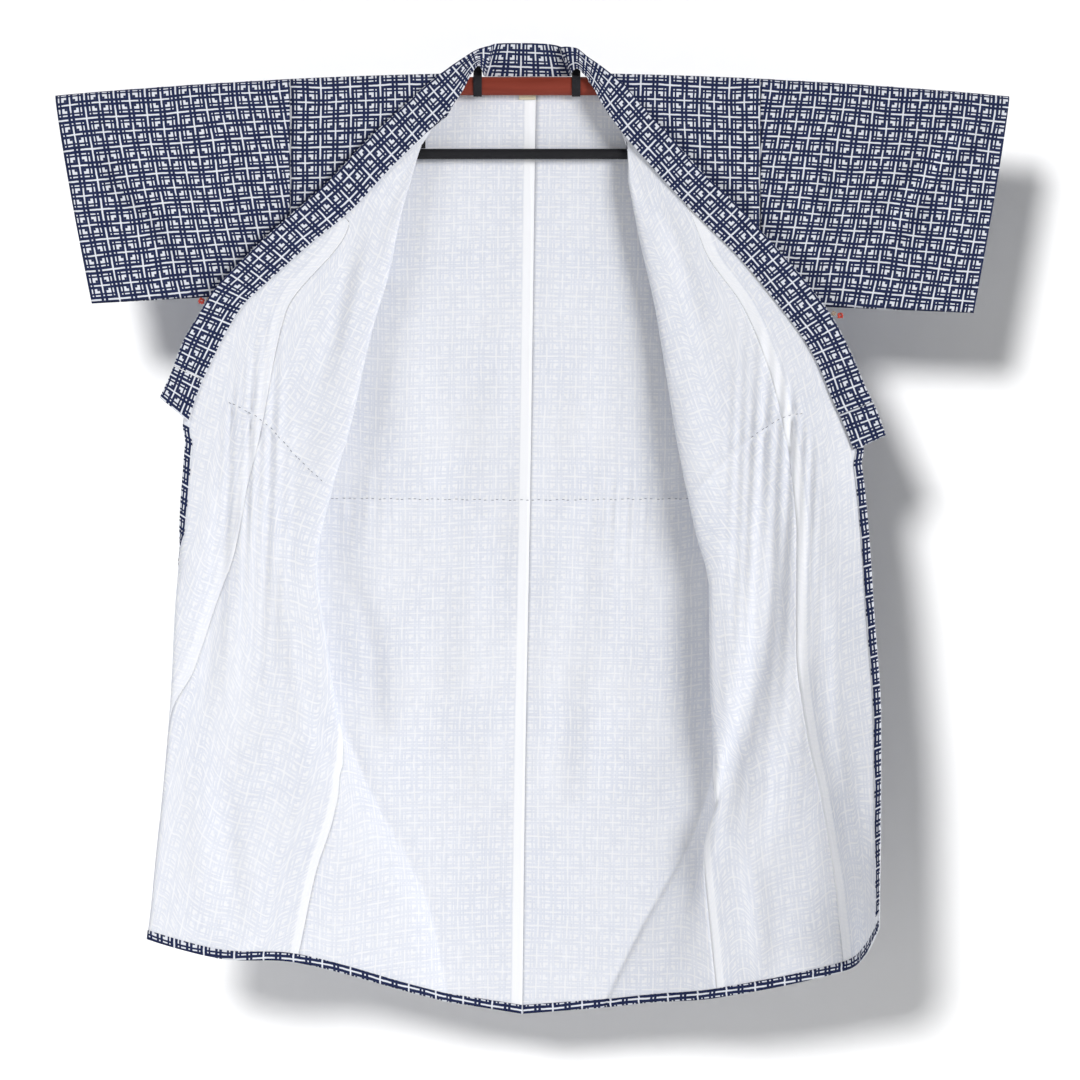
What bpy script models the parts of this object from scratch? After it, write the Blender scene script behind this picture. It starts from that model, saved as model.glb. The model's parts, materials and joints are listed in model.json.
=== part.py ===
"""A short-sleeved cotton yukata robe on a kimono hanger, hung with both fronts turned wide open.

Metres, +Z up, the open front faces -Y. The origin is midway between the two hanging eyes of the hanger.
The cloth is worked out from the lines along which the robe hangs: its seams, folds and free edges.
Each line is a short table in millimetres, from the shoulder down. A row of cloth crosses all the lines
of one side, and the pieces are cut from these rows at their seams.
"""

import math

import bmesh
import bpy
import numpy as np

MM = 0.001

# Cloth
CLOTH_WALL = 1.2
BAND_WALL = 2.4
FOLD_WALL = 0.8
SEAM_GAP = 0.6
LAYER_GAP = 0.5
HEM_TURN = 12.0
TUCK_UNDER = 7.0
LAP_FROM = 7.0
EDGE_ROLL_TOP = 8.0
EDGE_ROLL = 42.0
OUTER_ROLL = 26.0

# Where the rows of cloth stand: the shoulder, the point of the overlap gore, the waist tuck and the hem
GORE_ROW = 0.17
ARMHOLE_ROW = 0.238
WAIST_ROW = 0.45
COLLAR_END_ROW = 0.5
LAP_STARTS_ROW = 0.065
LEVEL_ROWS = (0.0, LAP_STARTS_ROW, GORE_ROW, WAIST_ROW, 1.0)

# How finely the cloth is divided: rows down it, and columns across its pieces
BODY_ROWS = (0, 0.014, 0.035, 0.065, 0.1, 0.135, 0.17, 0.205, 0.2375, 0.241, 0.285, 0.34, 0.395, 0.445)
BODY_ROWS += (0.505, 0.55, 0.595, 0.6175, 0.64, 0.665, 0.69, 0.74, 0.79, 0.84, 0.9, 0.95, 0.9905, 1.0)
OKUMI_ROWS = (0.178, 0.19) + BODY_ROWS[7:]
SLEEVE_DEPTHS = (0.0, 0.007, 0.02, 0.04, 0.1, 0.25, 0.42, 0.6, 0.78, 0.92, 0.985)
SLEEVE_STATIONS = 8
BACK_COLUMNS_IN = 3
BACK_COLUMNS = 16
LEG_COLUMNS = 5
LAP_COLUMNS = 3
COLLAR_COLUMNS = 5
TIP_STEPS = (-11.0, -3.5, 0.0, 3.5, 11.0)
ARC_TURNS = (35, 90, 145)
PATH_STEPS = 16

# The least width of the pieces on both sides of the front fold, and how near a seam two columns count as one
LAP_LEAST = 26.0
LEG_LEAST = 60.0
ACROSS_A_SEAM = 3.2
FOLDED_SEAM_GAP = 1.0
OKUMI_TURN = 4.0

# The folded strip up the front edges: its first row, where it ends and how far it stands off the hem's strip
EDGE_FOLD_FIRST = 9
EDGE_FOLD_STOPS = 0.95
EDGE_FOLD_STANDS = 0.3

# Shoulder line over the hanger
SHOULDER_TOP = 28.5
SHOULDER_DROOP = 32.0
SHOULDER_REACH = 658.0
SHOULDER_POWER = 1.9
HALF_AT_SLEEVE = 8.5

# Sleeves: across at the seam, at the top and bottom of the cuff, and the drop of the lower edge at both ends
SLEEVES = {
    "left": {"seam": -328.0, "cuff_top": -652.0, "cuff_low": -602.0, "seam_drop": 331.0, "cuff_drop": 346.0},
    "right": {"seam": 320.0, "cuff_top": 664.0, "cuff_low": 615.0, "seam_drop": 347.0, "cuff_drop": 359.0},
}
SLEEVE_BOTTOM_HALF = 3.0
SLEEVE_BULGE = 3.5
SLEEVE_TOP_ROUND = 12.0

# Hanger
BAR_DROP = 46.6
BAR_HALF_HEIGHT = 12.8
BAR_HALF_DEPTH = 8.0
BAR_HALF_LENGTH = 150.0
ARM_HALF_HEIGHT = 8.0
ARM_HALF_DEPTH = 6.0
ARM_END = 634.0
LOW_BAR_DROP = 140.3
LOW_BAR_RADIUS = 7.25
LOW_BAR_HALF_LENGTH = 176.0
LINK_ACROSS = 145.5
LINK_WIDTH = 8.0
LINK_THICK = 3.0
STRAP_ACROSS = (-69.5, 66.5)
STRAP_WIDTH = 12.0
STRAP_THICK = 1.5
EYE_DEPTH = 4.5
EYE_INNER = 2.6
EYE_OUTER = 4.6
CLEARANCE = 0.4

# The centre-back seam, which both sides share: drop, across, depth
CENTRE_BACK = (
    (40, 11, 11),
    (340, 7, 13),
    (618, 3, 17),
    (1000, -4, 22),
    (1330, -8, 26),
)
CENTRE_BACK_LEVELS = (40, 124, 258, 618, 1329)
BACK_MIDDLE_DEPTH = (
    # drop, depth
    (40, 11),
    (340, 12),
    (618, 19),
    (900, 21),
    (1320, 25),
)

# Each side's lines. levels: the drop at the shoulder, the gore's point, the waist tuck and the hem.
# side_fold and edge_fold have a fourth column, open: 0 where the cloth turns back on itself in a tight fold,
# 1 where it runs on smoothly.
LEFT = {
    "name": "left",
    "out": -1,
    "side_fold": {
        "levels": (49, 128, 258, 615, 1312),
        "stations": (
            (49, -328, 0, 0.0),
            (520, -326, 0, 0.0),
            (650, -319, 0, 0.0),
            (756, -306, 0, 0.1),
            (850, -290, 0, 0.3),
            (954, -247, 2, 1.0),
            (1046, -205, 10, 1.0),
            (1181, -138, 18, 1.0),
            (1312, -112, 20, 1.0),
        ),
    },
    "edge_fold": {
        "levels": (41, 120, 255, 604, 1300),
        "stations": (
            (41, -85, -11, 1.0),
            (72, -103, -12, 0.9),
            (90, -113, -13, 0.4),
            (120, -131, -14, 0.1),
            (155, -152, -15, 0.0),
            (217, -173, -16, 0.0),
            (308, -192, -17, 0.0),
            (382, -214, -18, 0.0),
            (522, -246, -20, 0.0),
            (604, -270, -22, 0.0),
            (709, -290, -26, 0.1),
            (800, -279, -27, 0.3),
            (876, -269, -26, 0.6),
            (954, -262, -22, 1.0),
            (1046, -229, -14, 1.0),
            (1181, -171, -4, 1.0),
            (1300, -154, 4, 1.0),
        ),
    },
    "lap_inner": {
        "levels": (41, 107, 240, 563, 1254),
        "stations": (
            (41, -86, -11),
            (72, -104, -13),
            (107, -134, -16),
            (150, -165, -18),
            (236, -214, -20),
            (359, -270, -22),
            (522, -304, -26),
            (640, -330, -32),
            (756, -340, -36),
            (861, -330, -36),
            (954, -306, -36),
            (1028, -286, -34),
            (1170, -305, -32),
            (1254, -318, -32),
        ),
    },
    "lap_middle": {
        "levels": (41, 108, 221, 510, 1247),
        "stations": (
            (41, -87, -11),
            (72, -105, -13.5),
            (103, -133, -16),
            (145, -175, -18.5),
            (221, -245, -21),
            (236, -246, -21.5),
            (359, -333, -24),
            (522, -367, -29),
            (639, -392, -38),
            (756, -400, -40),
            (861, -408, -44),
            (1007, -414, -46),
            (1247, -424, -50),
        ),
    },
    "outer": {
        "levels": (41, 109, 221, 476, 1220),
        "stations": (
            (41, -88, -11),
            (72, -106, -13.5),
            (103, -133, -16),
            (145, -175, -18.5),
            (221, -246, -21),
            (290, -302, -23),
            (359, -366, -25),
            (472, -424, -29),
            (577, -448, -36),
            (646, -459, -41),
            (700, -476, -48),
            (756, -483, -50),
            (861, -488, -54),
            (1007, -499, -58),
            (1115, -510, -60),
            (1220, -521, -62),
        ),
    },
    "free_edge": {
        "levels": (41, 110, 221, 460, 1232),
        "stations": (
            (41, -88.5, -11),
            (72, -106.5, -13.5),
            (103, -133, -16),
            (145, -175, -18.5),
            (221, -247, -21),
            (265, -301, -22),
            (324, -367, -24),
            (381, -414, -26),
            (419, -431, -27.5),
            (469, -455, -29),
            (506, -467, -30.5),
            (577, -474, -35),
            (646, -478, -39),
            (700, -476, -32),
            (756, -463, -31),
            (861, -438, -26),
            (1007, -405, -24),
            (1232, -372, -22),
        ),
    },
    # row, and how far the cloth turns back behind itself at the outer line
    "outer_closes": ((0.0, 0.0), (0.6, 0.0), (0.68, 1.0), (1.0, 1.0)),
    # row, and where on the row the side seam stands
    "side_seam": ((0.65, 2.5), (0.71, 3.4), (0.75, 4.0), (0.785, 4.4), (0.83, 4.75), (0.9, 4.95), (1.0, 5.0)),
    # row, and how far the overlap's seam stands from lap_middle to outer
    "gore_seam": ((0.45, 0.0), (0.54, 0.0), (0.64, 0.23), (0.73, 0.5), (0.81, 1.0), (1.0, 1.0)),
    # the hem's strips: the left one is folded in two where the overlap turns back
    "hems": (("hem_fold_left", ("body",)), ("hem_fold_turned_back", ("overlap",))),
}
RIGHT = {
    "name": "right",
    "out": 1,
    "side_fold": {
        "levels": (49, 128, 258, 615, 1320),
        "stations": (
            (49, 320, 0, 0.0),
            (480, 318, 0, 0.0),
            (549, 314, 0, 0.0),
            (756, 294, 0, 0.1),
            (894, 276, 0, 0.3),
            (1013, 250, 4, 1.0),
            (1087, 226, 12, 1.0),
            (1206, 161, 18, 1.0),
            (1320, 106, 22, 1.0),
        ),
    },
    "edge_fold": {
        "levels": (41, 119, 245, 616, 1312),
        "stations": (
            (41, 84, -11, 1.0),
            (59, 97, -12, 1.0),
            (84, 110, -13, 0.6),
            (119, 127, -14, 0.1),
            (187, 140, -16, 0.0),
            (250, 152, -16, 0.0),
            (352, 175, -17, 0.0),
            (442, 190, -18, 0.0),
            (535, 205, -20, 0.0),
            (658, 230, -24, 0.0),
            (738, 249, -27, 0.0),
            (862, 250, -28, 0.1),
            (991, 256, -26, 0.5),
            (1087, 250, -12, 1.0),
            (1206, 206, -2, 1.0),
            (1312, 168, 6, 1.0),
        ),
    },
    "lap_inner": {
        "levels": (41, 111, 225, 545, 1303),
        "stations": (
            (41, 85, -11),
            (84, 112, -14),
            (111, 129.5, -16),
            (144, 153, -18),
            (226, 196, -20),
            (349, 240, -22),
            (500, 282, -25),
            (600, 300, -26),
            (756, 312, -30),
            (894, 300, -32),
            (1013, 272, -30),
            (1098, 246, -26),
            (1303, 260, -24),
        ),
    },
    "lap_middle": {
        "levels": (41, 112, 201, 506, 1263),
        "stations": (
            (41, 86, -11),
            (84, 114, -14.5),
            (121, 139, -17),
            (145, 160, -18.5),
            (201, 211, -20.5),
            (226, 225, -21.5),
            (280, 246, -22.5),
            (349, 294, -24),
            (399, 317, -26),
            (472, 341, -29),
            (588, 363, -36),
            (669, 369, -42),
            (829, 369, -50),
            (937, 382, -54),
            (1024, 402, -58),
            (1141, 421, -62),
            (1263, 434, -64),
        ),
    },
    "outer": {
        "levels": (41, 112.6, 201, 497, 1238),
        "stations": (
            (41, 87, -11),
            (84, 115, -14.5),
            (121, 139, -17),
            (145, 160, -18.5),
            (201, 212, -20.5),
            (280, 267, -23),
            (349, 318, -24.5),
            (472, 377, -29),
            (588, 412, -44),
            (669, 418, -52),
            (829, 428, -68),
            (937, 435, -80),
            (1024, 444, -92),
            (1141, 456, -102),
            (1238, 460, -106),
        ),
    },
    "free_edge": {
        "levels": (41, 113.2, 201, 488, 1200),
        "stations": (
            (41, 87.5, -11),
            (84, 116, -14.5),
            (121, 139, -17),
            (145, 160, -18.5),
            (201, 213, -20.5),
            (240, 249, -22),
            (283, 291, -23),
            (354, 348, -25),
            (431, 399, -27),
            (505, 434, -29),
            (548, 455, -32),
            (669, 468, -56),
            (777, 474, -74),
            (911, 482, -92),
            (1018, 481, -108),
            (1200, 477, -136),
        ),
    },
    "outer_closes": ((0.0, 0.0), (1.0, 0.0)),
    "side_seam": ((0.65, 2.5), (0.72, 3.4), (0.76, 4.0), (0.8, 4.45), (0.85, 4.8), (0.92, 4.97), (1.0, 5.0)),
    "gore_seam": ((0.45, 0.0), (1.0, 0.0)),
    "hems": (("hem_fold_right", ("body", "overlap")),),
}

# The collar band from its left end over the neck to its right end.
# sewn_across, sewn_drop, sewn_depth, free_across, free_drop, free_depth
COLLAR = (
    (-468, 509, -33.6, -506, 477, -33.2),
    (-455, 469, -31.8, -493, 449, -31.6),
    (-432, 418, -29.8, -474, 399, -29.8),
    (-412, 379, -28.6, -453, 363, -28.6),
    (-392, 348, -27.7, -433, 331, -27.7),
    (-367, 324, -26.7, -403, 298, -26.7),
    (-334, 294, -25.6, -370, 265, -25.6),
    (-301, 265, -24.8, -333, 231, -24.8),
    (-245, 219, -23.8, -278, 183, -23.6),
    (-190, 160, -23.2, -223, 124, -21.8),
    (-140, 111, -21.8, -171, 75, -17.0),
    (-110, 80, -19.4, -139, 45, -15.4),
    (-90, 52, -16.2, -112, 24, -11.5),
    (-78, 29, -13.0, -91, 9, -5.0),
    (-68, 18, -8.0, -70, -4, -1.5),
    (-62, 27, -3.0, -55, -9, 0.5),
    (-60, 31, 6.0, -50, -11, 6.0),
    (-58, 31, 12.6, -45, -13, 12.6),
    (-28, 31, 14.2, -24, -14, 14.2),
    (0, 31, 14.6, 0, -14, 14.6),
    (30, 31, 14.2, 24, -13, 14.2),
    (58, 31, 12.6, 42, -10, 12.6),
    (59, 31, 6.0, 46, -8, 6.0),
    (60, 27, -3.0, 52, -8, 0.5),
    (67, 22, -8.0, 66, -6, -1.5),
    (79, 32, -13.0, 82, 6, -5.0),
    (90, 48, -16.2, 100, 19, -11.5),
    (105, 75, -19.4, 131, 45, -15.4),
    (132, 113, -21.8, 164, 83, -17.0),
    (163, 149, -22.8, 195, 117, -21.4),
    (210, 201, -23.4, 243, 170, -23.0),
    (249, 241, -24.4, 283, 208, -24.4),
    (291, 283, -25.4, 325, 252, -25.4),
    (348, 352, -27.4, 386, 323, -27.4),
    (377, 391, -28.4, 419, 367, -28.4),
    (400, 431, -29.6, 443, 413, -29.6),
    (420, 480, -31.2, 464, 462, -31.2),
    (435, 513, -33.4, 480, 496, -33.0),
    (449, 549, -37.0, 492, 529, -36.0),
)
OVER_COLLAR_FIRST = 1.35
OVER_COLLAR_LAST = 36.6

# Colours, linear
PRINT_NAVY = (0.035, 0.05, 0.16, 1.0)
BAR_RED = (0.25, 0.05, 0.025, 1.0)
HANGER_BLACK = (0.012, 0.012, 0.015, 1.0)
TACK_RED = (0.7, 0.05, 0.04, 1.0)
TACK_BEIGE = (0.5, 0.4, 0.3, 1.0)
LABEL_CREAM = (0.75, 0.68, 0.45, 1.0)


def clear_scene():
    for obj in list(bpy.data.objects):
        bpy.data.objects.remove(obj, do_unlink=True)


def finish(name, colour, roughness, metallic=0.0):
    material = bpy.data.materials.new(name)
    material.use_nodes = True
    shader = material.node_tree.nodes["Principled BSDF"]
    shader.inputs["Base Color"].default_value = colour
    shader.inputs["Roughness"].default_value = roughness
    shader.inputs["Metallic"].default_value = metallic
    material.diffuse_color = colour
    return material


def add_object(name, mesh, material):
    mesh.materials.append(material)
    obj = bpy.data.objects.new(name, mesh)
    bpy.context.scene.collection.objects.link(obj)
    return obj


def smoothstep(x):
    x = np.clip(x, 0.0, 1.0)
    return x * x * (3 - 2 * x)


def through(places, values, at):
    """A smooth curve through the values, with no overshoot between them."""
    places = np.asarray(places, float)
    values = np.asarray(values, float)
    steps = np.diff(places)
    slopes = np.diff(values) / steps
    tangent = np.zeros(len(places))
    tangent[0], tangent[-1] = slopes[0], slopes[-1]
    same_way = slopes[:-1] * slopes[1:] > 0
    tangent[1:-1][same_way] = 2 / (1 / slopes[:-1][same_way] + 1 / slopes[1:][same_way])
    at = float(np.clip(at, places[0], places[-1]))
    k = int(np.clip(np.searchsorted(places, at) - 1, 0, len(steps) - 1))
    t = (at - places[k]) / steps[k]
    start = (1 + 2 * t) * (1 - t) ** 2 * values[k] + t * (1 - t) ** 2 * steps[k] * tangent[k]
    end = t * t * (3 - 2 * t) * values[k + 1] + t * t * (t - 1) * steps[k] * tangent[k + 1]
    return start + end


def column(stations, index):
    return [station[index] for station in stations]


def station_at(line, row):
    """drop, across, depth and, on a fold line, open: where a row of cloth crosses a line."""
    drop = through(LEVEL_ROWS, line["levels"], row)
    stations = line["stations"]
    drops = column(stations, 0)
    return [drop] + [through(drops, column(stations, k), drop) for k in range(1, len(stations[0]))]


def centre_back_at(row):
    drop = through(LEVEL_ROWS, CENTRE_BACK_LEVELS, row)
    drops = column(CENTRE_BACK, 0)
    return drop, through(drops, column(CENTRE_BACK, 1), drop), through(drops, column(CENTRE_BACK, 2), drop)


def shoulder_drop(across):
    return SHOULDER_TOP + SHOULDER_DROOP * (abs(across) / SHOULDER_REACH) ** SHOULDER_POWER


def side_half(drop):
    """Half the distance between front and back at the sleeve seam, and below it half the side fold."""
    return through((49, 240, 320, 350, 1400), (8.5, 8.0, 5.0, SLEEVE_BOTTOM_HALF, SLEEVE_BOTTOM_HALF), drop)


def turned(first, second, share):
    mixed = (1 - share) * first + share * second
    return mixed / max(np.linalg.norm(mixed), 1e-9)


def row_path(side, row):
    """One row of cloth from the centre back out to the free edge: points in mm and their places.

    Places: 0 centre back, 1 back middle, 2 and 3 the two sides of the side fold, 4 edge fold, 5 lap_inner,
    6 lap_middle, 7 outer, 8 free edge.
    """
    out = side["out"]
    c_drop, c_across, c_depth = centre_back_at(row)
    s_drop, s_across, s_depth, s_open = station_at(side["side_fold"], row)
    e_drop, e_across, e_depth, e_open = station_at(side["edge_fold"], row)
    half = side_half(s_drop) * (1 - 0.6 * s_open)
    b_drop = (c_drop + s_drop) / 2
    b_depth = through(column(BACK_MIDDLE_DEPTH, 0), column(BACK_MIDDLE_DEPTH, 1), b_drop)
    points = [
        (c_across, c_depth, -c_drop),
        ((c_across + s_across) / 2, b_depth, -b_drop),
        (s_across, s_depth + half, -s_drop),
        (s_across, s_depth - half, -s_drop),
        (e_across, e_depth, -e_drop),
    ]
    for name in ("lap_inner", "lap_middle", "outer", "free_edge"):
        drop, across, depth = station_at(side[name], row)
        points.append((across, depth, -drop))
    points = np.array(points, float)
    lap = float(np.linalg.norm(points[8] - points[4]))
    drawn = float(smoothstep((row - GORE_ROW + 0.03) / 0.05))
    for k, share in ((5, 0.35), (6, 0.7), (7, 0.9)):
        points[k] = drawn * points[k] + (1 - drawn) * (points[4] + (points[8] - points[4]) * share)
    if lap < LAP_FROM:
        points = points[:5]
        e_open = 1.0
    closed = float(smoothstep((s_drop - 300) / 50))
    fold = np.array((0.0, -1.0, 0.0))
    outward = np.array((float(out), 0.0, 0.0))
    ways = [points[1] - points[0]]
    for k in range(1, len(points) - 1):
        ways.append(points[k + 1] - points[k - 1])
    ways.append(points[-1] - points[-2])
    ways = [way / max(np.linalg.norm(way), 1e-9) for way in ways]
    ways[2] = turned(turned(outward, fold, closed), ways[2], s_open)
    ways[3] = turned(turned(-outward, fold, closed), ways[3], s_open)
    ways[4] = turned(fold, ways[4], e_open)
    closes = 0.0
    if len(points) > 7:
        closes = through(column(side["outer_closes"], 0), column(side["outer_closes"], 1), row)
        ways[7] = turned(-fold, ways[7], 1 - closes)
    roll = EDGE_ROLL_TOP + (EDGE_ROLL - EDGE_ROLL_TOP) * float(smoothstep((e_drop - 140) / 130))
    reach = {2: 34.0, 3: 34.0, 4: roll, 7: OUTER_ROLL}
    ease = {2: s_open if closed > 0.5 else 1.0, 3: s_open if closed > 0.5 else 1.0, 4: e_open, 7: 1 - closes}
    path, places = [points[0]], [0.0]
    for k in range(len(points) - 1):
        chord = np.linalg.norm(points[k + 1] - points[k])
        pull = []
        for end in (k, k + 1):
            length = chord
            if end in reach:
                length = min(chord, reach[end] + (chord - reach[end]) * ease[end] ** 2)
            pull.append(length)
        for t in np.linspace(0, 1, PATH_STEPS + 1)[1:]:
            point = (1 + 2 * t) * (1 - t) ** 2 * points[k]
            point = point + t * t * (3 - 2 * t) * points[k + 1]
            point = point + t * (1 - t) ** 2 * pull[0] * ways[k]
            point = point + t * t * (t - 1) * pull[1] * ways[k + 1]
            path.append(point)
            places.append(k + t)
    under = TUCK_UNDER * (1 - float(smoothstep((row - COLLAR_END_ROW) / 0.02)))
    if lap < LAP_FROM:
        under = 1.0
    if under > 0.01:
        path.append(path[-1] + ways[-1] * under)
        places.append(8.5)
    return np.array(path), np.array(places)


def along(path):
    steps = np.linalg.norm(np.diff(path, axis=0), axis=1)
    return np.concatenate([[0.0], np.cumsum(steps)])


def at_length(path, lengths, wanted):
    return np.stack([np.interp(wanted, lengths, path[:, k]) for k in range(3)], axis=-1)


def seams_of(side, row):
    """The row's path and the lengths along it at which the pieces are cut.

    Lengths: back piece's end, front piece's start, gore seam, free edge, edge fold, half the gap.
    """
    path, places = row_path(side, row)
    lengths = along(path)

    def at(place):
        return float(np.interp(place, places, lengths))

    if row < ARMHOLE_ROW:
        back_end, front_start = at(2.0), at(3.0)
    else:
        place = through(column(side["side_seam"], 0), column(side["side_seam"], 1), row)
        back_end = at(place) - SEAM_GAP / 2
        front_start = at(place) + SEAM_GAP / 2
    end = float(lengths[-1])
    shift = through(column(side["gore_seam"], 0), column(side["gore_seam"], 1), row)
    gore = at(6.0 + shift)
    share = float(smoothstep((row - GORE_ROW) / 0.05))
    gap = (SEAM_GAP / 2 if row > GORE_ROW else 0) + FOLDED_SEAM_GAP * max(0.0, 2 * shift - 1)
    return path, lengths, back_end, front_start, end + (gore - end) * share, end, at(4.0), gap


def front_row(side, row):
    path, lengths, _, start, gore, _, tip, gap = seams_of(side, row)
    stop = gore - gap
    tip = min(max(tip, start + LEG_LEAST), stop - LAP_LEAST)
    round_tip = tip + np.array(TIP_STEPS)
    leg = np.linspace(start, round_tip[0], LEG_COLUMNS + 1)[:-1]
    lap = np.linspace(round_tip[-1], stop, LAP_COLUMNS + 1)[1:]
    return at_length(path, lengths, np.concatenate([leg, round_tip, lap]))


def back_row(side, row, top_shares):
    path, lengths, end, *_ = seams_of(side, row)
    start = SEAM_GAP / 2
    even = np.linspace(0, 1, len(top_shares))
    share = float(smoothstep(row / 0.2))
    wanted = start + (end - start) * (top_shares * (1 - share) + even * share)
    return at_length(path, lengths, wanted)


def body_mesh(side):
    """Back and front of one side, cut in one length over the shoulder, as an open sheet."""
    front = np.array([front_row(side, row) for row in BODY_ROWS])
    path, lengths, end, *_ = seams_of(side, 0.0)
    from_slit = front[0][::-1]
    as_far = 2 * PATH_STEPS + 1
    matched = np.interp(from_slit[:, 0] * side["out"], path[:as_far, 0] * side["out"], lengths[:as_far])
    inner = np.linspace(SEAM_GAP / 2, matched[0], BACK_COLUMNS_IN + 1)[:-1]
    top_shares = (np.concatenate([inner, matched]) - SEAM_GAP / 2) / (end - SEAM_GAP / 2)
    top_shares[-1] = 1.0
    back = np.array([back_row(side, row, top_shares) for row in BODY_ROWS])
    mesh = bmesh.new()

    def add_rows(grid):
        return [[mesh.verts.new(np.asarray(point) * MM) for point in line] for line in grid]

    def join(first, second):
        for k in range(len(first) - 1):
            mesh.faces.new((first[k], first[k + 1], second[k + 1], second[k]))

    back_verts = add_rows(back)
    front_verts = add_rows(front)
    for first, second in zip(back_verts, back_verts[1:]):
        join(first, second)
    for first, second in zip(front_verts, front_verts[1:]):
        join(first, second)
    behind = back[0][BACK_COLUMNS_IN:]
    before = front[0][::-1]
    previous = back_verts[0][BACK_COLUMNS_IN:]
    for turn in ARC_TURNS:
        angle = math.radians(turn)
        middle = (behind + before) / 2
        half = (behind - before) / 2
        arc = middle + half * math.cos(angle)
        arc[:, 2] += [
            (-shoulder_drop(point[0]) - point[2]) * math.sin(angle) for point in middle
        ]
        line = add_rows([arc])[0]
        join(line, previous)
        previous = line
    join(front_verts[0][::-1], previous)
    bmesh.ops.recalc_face_normals(mesh, faces=mesh.faces)
    sheet = bpy.data.meshes.new("body_" + side["name"])
    mesh.to_mesh(sheet)
    mesh.free()
    return sheet


def grid_mesh(name, grid, closed=False):
    """A sheet from rows of points in mm; closed joins each row's end to its start."""
    mesh = bmesh.new()
    verts = [[mesh.verts.new(np.asarray(point) * MM) for point in line] for line in grid]
    width = len(verts[0])
    for first, second in zip(verts, verts[1:]):
        for k in range(width if closed else width - 1):
            n = (k + 1) % width
            mesh.faces.new((first[k], first[n], second[n], second[k]))
    sheet = bpy.data.meshes.new(name)
    mesh.to_mesh(sheet)
    mesh.free()
    return sheet


def walled(obj, wall):
    solid = obj.modifiers.new("wall", "SOLIDIFY")
    solid.thickness = wall * MM
    solid.offset = 0
    solid.use_even_offset = True
    solid.thickness_clamp = 0
    return obj


def moved_out(grid, distance):
    """The grid's points moved along its normals, so that every face moves by the distance."""
    across = np.diff(grid, axis=1)
    down = np.diff(grid, axis=0)
    normals = np.cross(across[:-1] + across[1:], down[:, :-1] + down[:, 1:])
    normals /= np.maximum(np.linalg.norm(normals, axis=2, keepdims=True), 1e-9)
    around = np.pad(normals, ((1, 1), (1, 1), (0, 0)), mode="edge")
    mean = (around[:-1, :-1] + around[1:, :-1] + around[:-1, 1:] + around[1:, 1:]) / 4
    return grid + mean * distance / np.maximum(np.sum(mean * mean, axis=2, keepdims=True), 0.25)


def outer_length(side, row):
    path, places = row_path(side, row)
    return float(np.interp(7.0, places, along(path)))


def okumi_grid(side):
    rows = []
    for row in OKUMI_ROWS:
        path, lengths, _, _, gore, end, _, gap = seams_of(side, row)
        start = gore + gap
        width = end - start
        turn = np.clip(outer_length(side, row), start + 0.25 * width, end - 0.4 * width)
        strip = min(HEM_TURN, 0.25 * width)
        step = min(OKUMI_TURN, 0.06 * width)
        before_turn = (start, (start + turn - step) / 2, turn - step, turn)
        after_turn = (turn + step, end - strip, end - strip / 2, end)
        rows.append(at_length(path, lengths, np.array(before_turn + after_turn)))
    return np.array(rows)


def inside_offset(side, wall):
    """How far a strip's middle stands off the cloth's middle, on the robe's inside."""
    return -side["out"] * (CLOTH_WALL / 2 + LAYER_GAP + wall / 2)


def hem_fold_grid(side, parts):
    """The folded hem along the bottom of the back and front, of the overlap, or of both in one strip."""
    lines = []
    for row, okumi_line in ((BODY_ROWS[-2], -2), (BODY_ROWS[-1], -1)):
        line = []
        if "body" in parts:
            line += [back_row(side, row, np.linspace(0, 1, BACK_COLUMNS)), front_row(side, row)]
        if "overlap" in parts:
            line.append(okumi_grid(side)[okumi_line])
        lines.append(np.concatenate(line))
    grid = np.array(lines)
    apart = np.linalg.norm(np.diff(grid[1], axis=0), axis=1)
    for k in np.nonzero(apart < ACROSS_A_SEAM)[0]:
        grid[:, k] = (grid[:, k] + grid[:, k + 1]) / 2
    kept = [0] + [k + 1 for k in range(len(apart)) if apart[k] >= ACROSS_A_SEAM]
    return moved_out(grid[:, kept], inside_offset(side, FOLD_WALL))


def edge_fold_grid(side):
    distance = inside_offset(side, FOLD_WALL) - side["out"] * EDGE_FOLD_STANDS
    okumi = moved_out(okumi_grid(side), distance)[EDGE_FOLD_FIRST:-1, -3:]
    okumi[-1] = okumi[-2] + (okumi[-1] - okumi[-2]) * EDGE_FOLD_STOPS
    return okumi


def sleeve_point(sleeve, u, t, front):
    """u from the seam to the cuff, t from the shoulder line to the lower edge; front or back layer."""
    seam, cuff_top, cuff_low = sleeve["seam"], sleeve["cuff_top"], sleeve["cuff_low"]
    out = math.copysign(1, cuff_top)
    seam_edge = seam + out * (SEAM_GAP + CLOTH_WALL / 4)
    cuff = cuff_top + (cuff_low - cuff_top) * t ** 1.15
    across = seam_edge + (cuff - seam_edge) * u
    top = shoulder_drop(across)
    low = sleeve["seam_drop"] + (sleeve["cuff_drop"] - sleeve["seam_drop"]) * u
    drop = top + (low - top) * t
    over = min(1.0, t * (low - top) / SLEEVE_TOP_ROUND)
    side = HALF_AT_SLEEVE * math.sqrt(1 - (1 - over) ** 2)
    side = min(side, through((0, 0.04, 0.6, 0.9, 1.0), (9.0, 8.5, 7.5, 5.0, 1.6), t))
    bulge = SLEEVE_BULGE * math.sin(math.pi * u) * math.sin(math.pi * min(1, t * 1.1))
    depth = -(side + bulge) if front else side + 0.6 * bulge
    return across, depth, -drop


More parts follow.
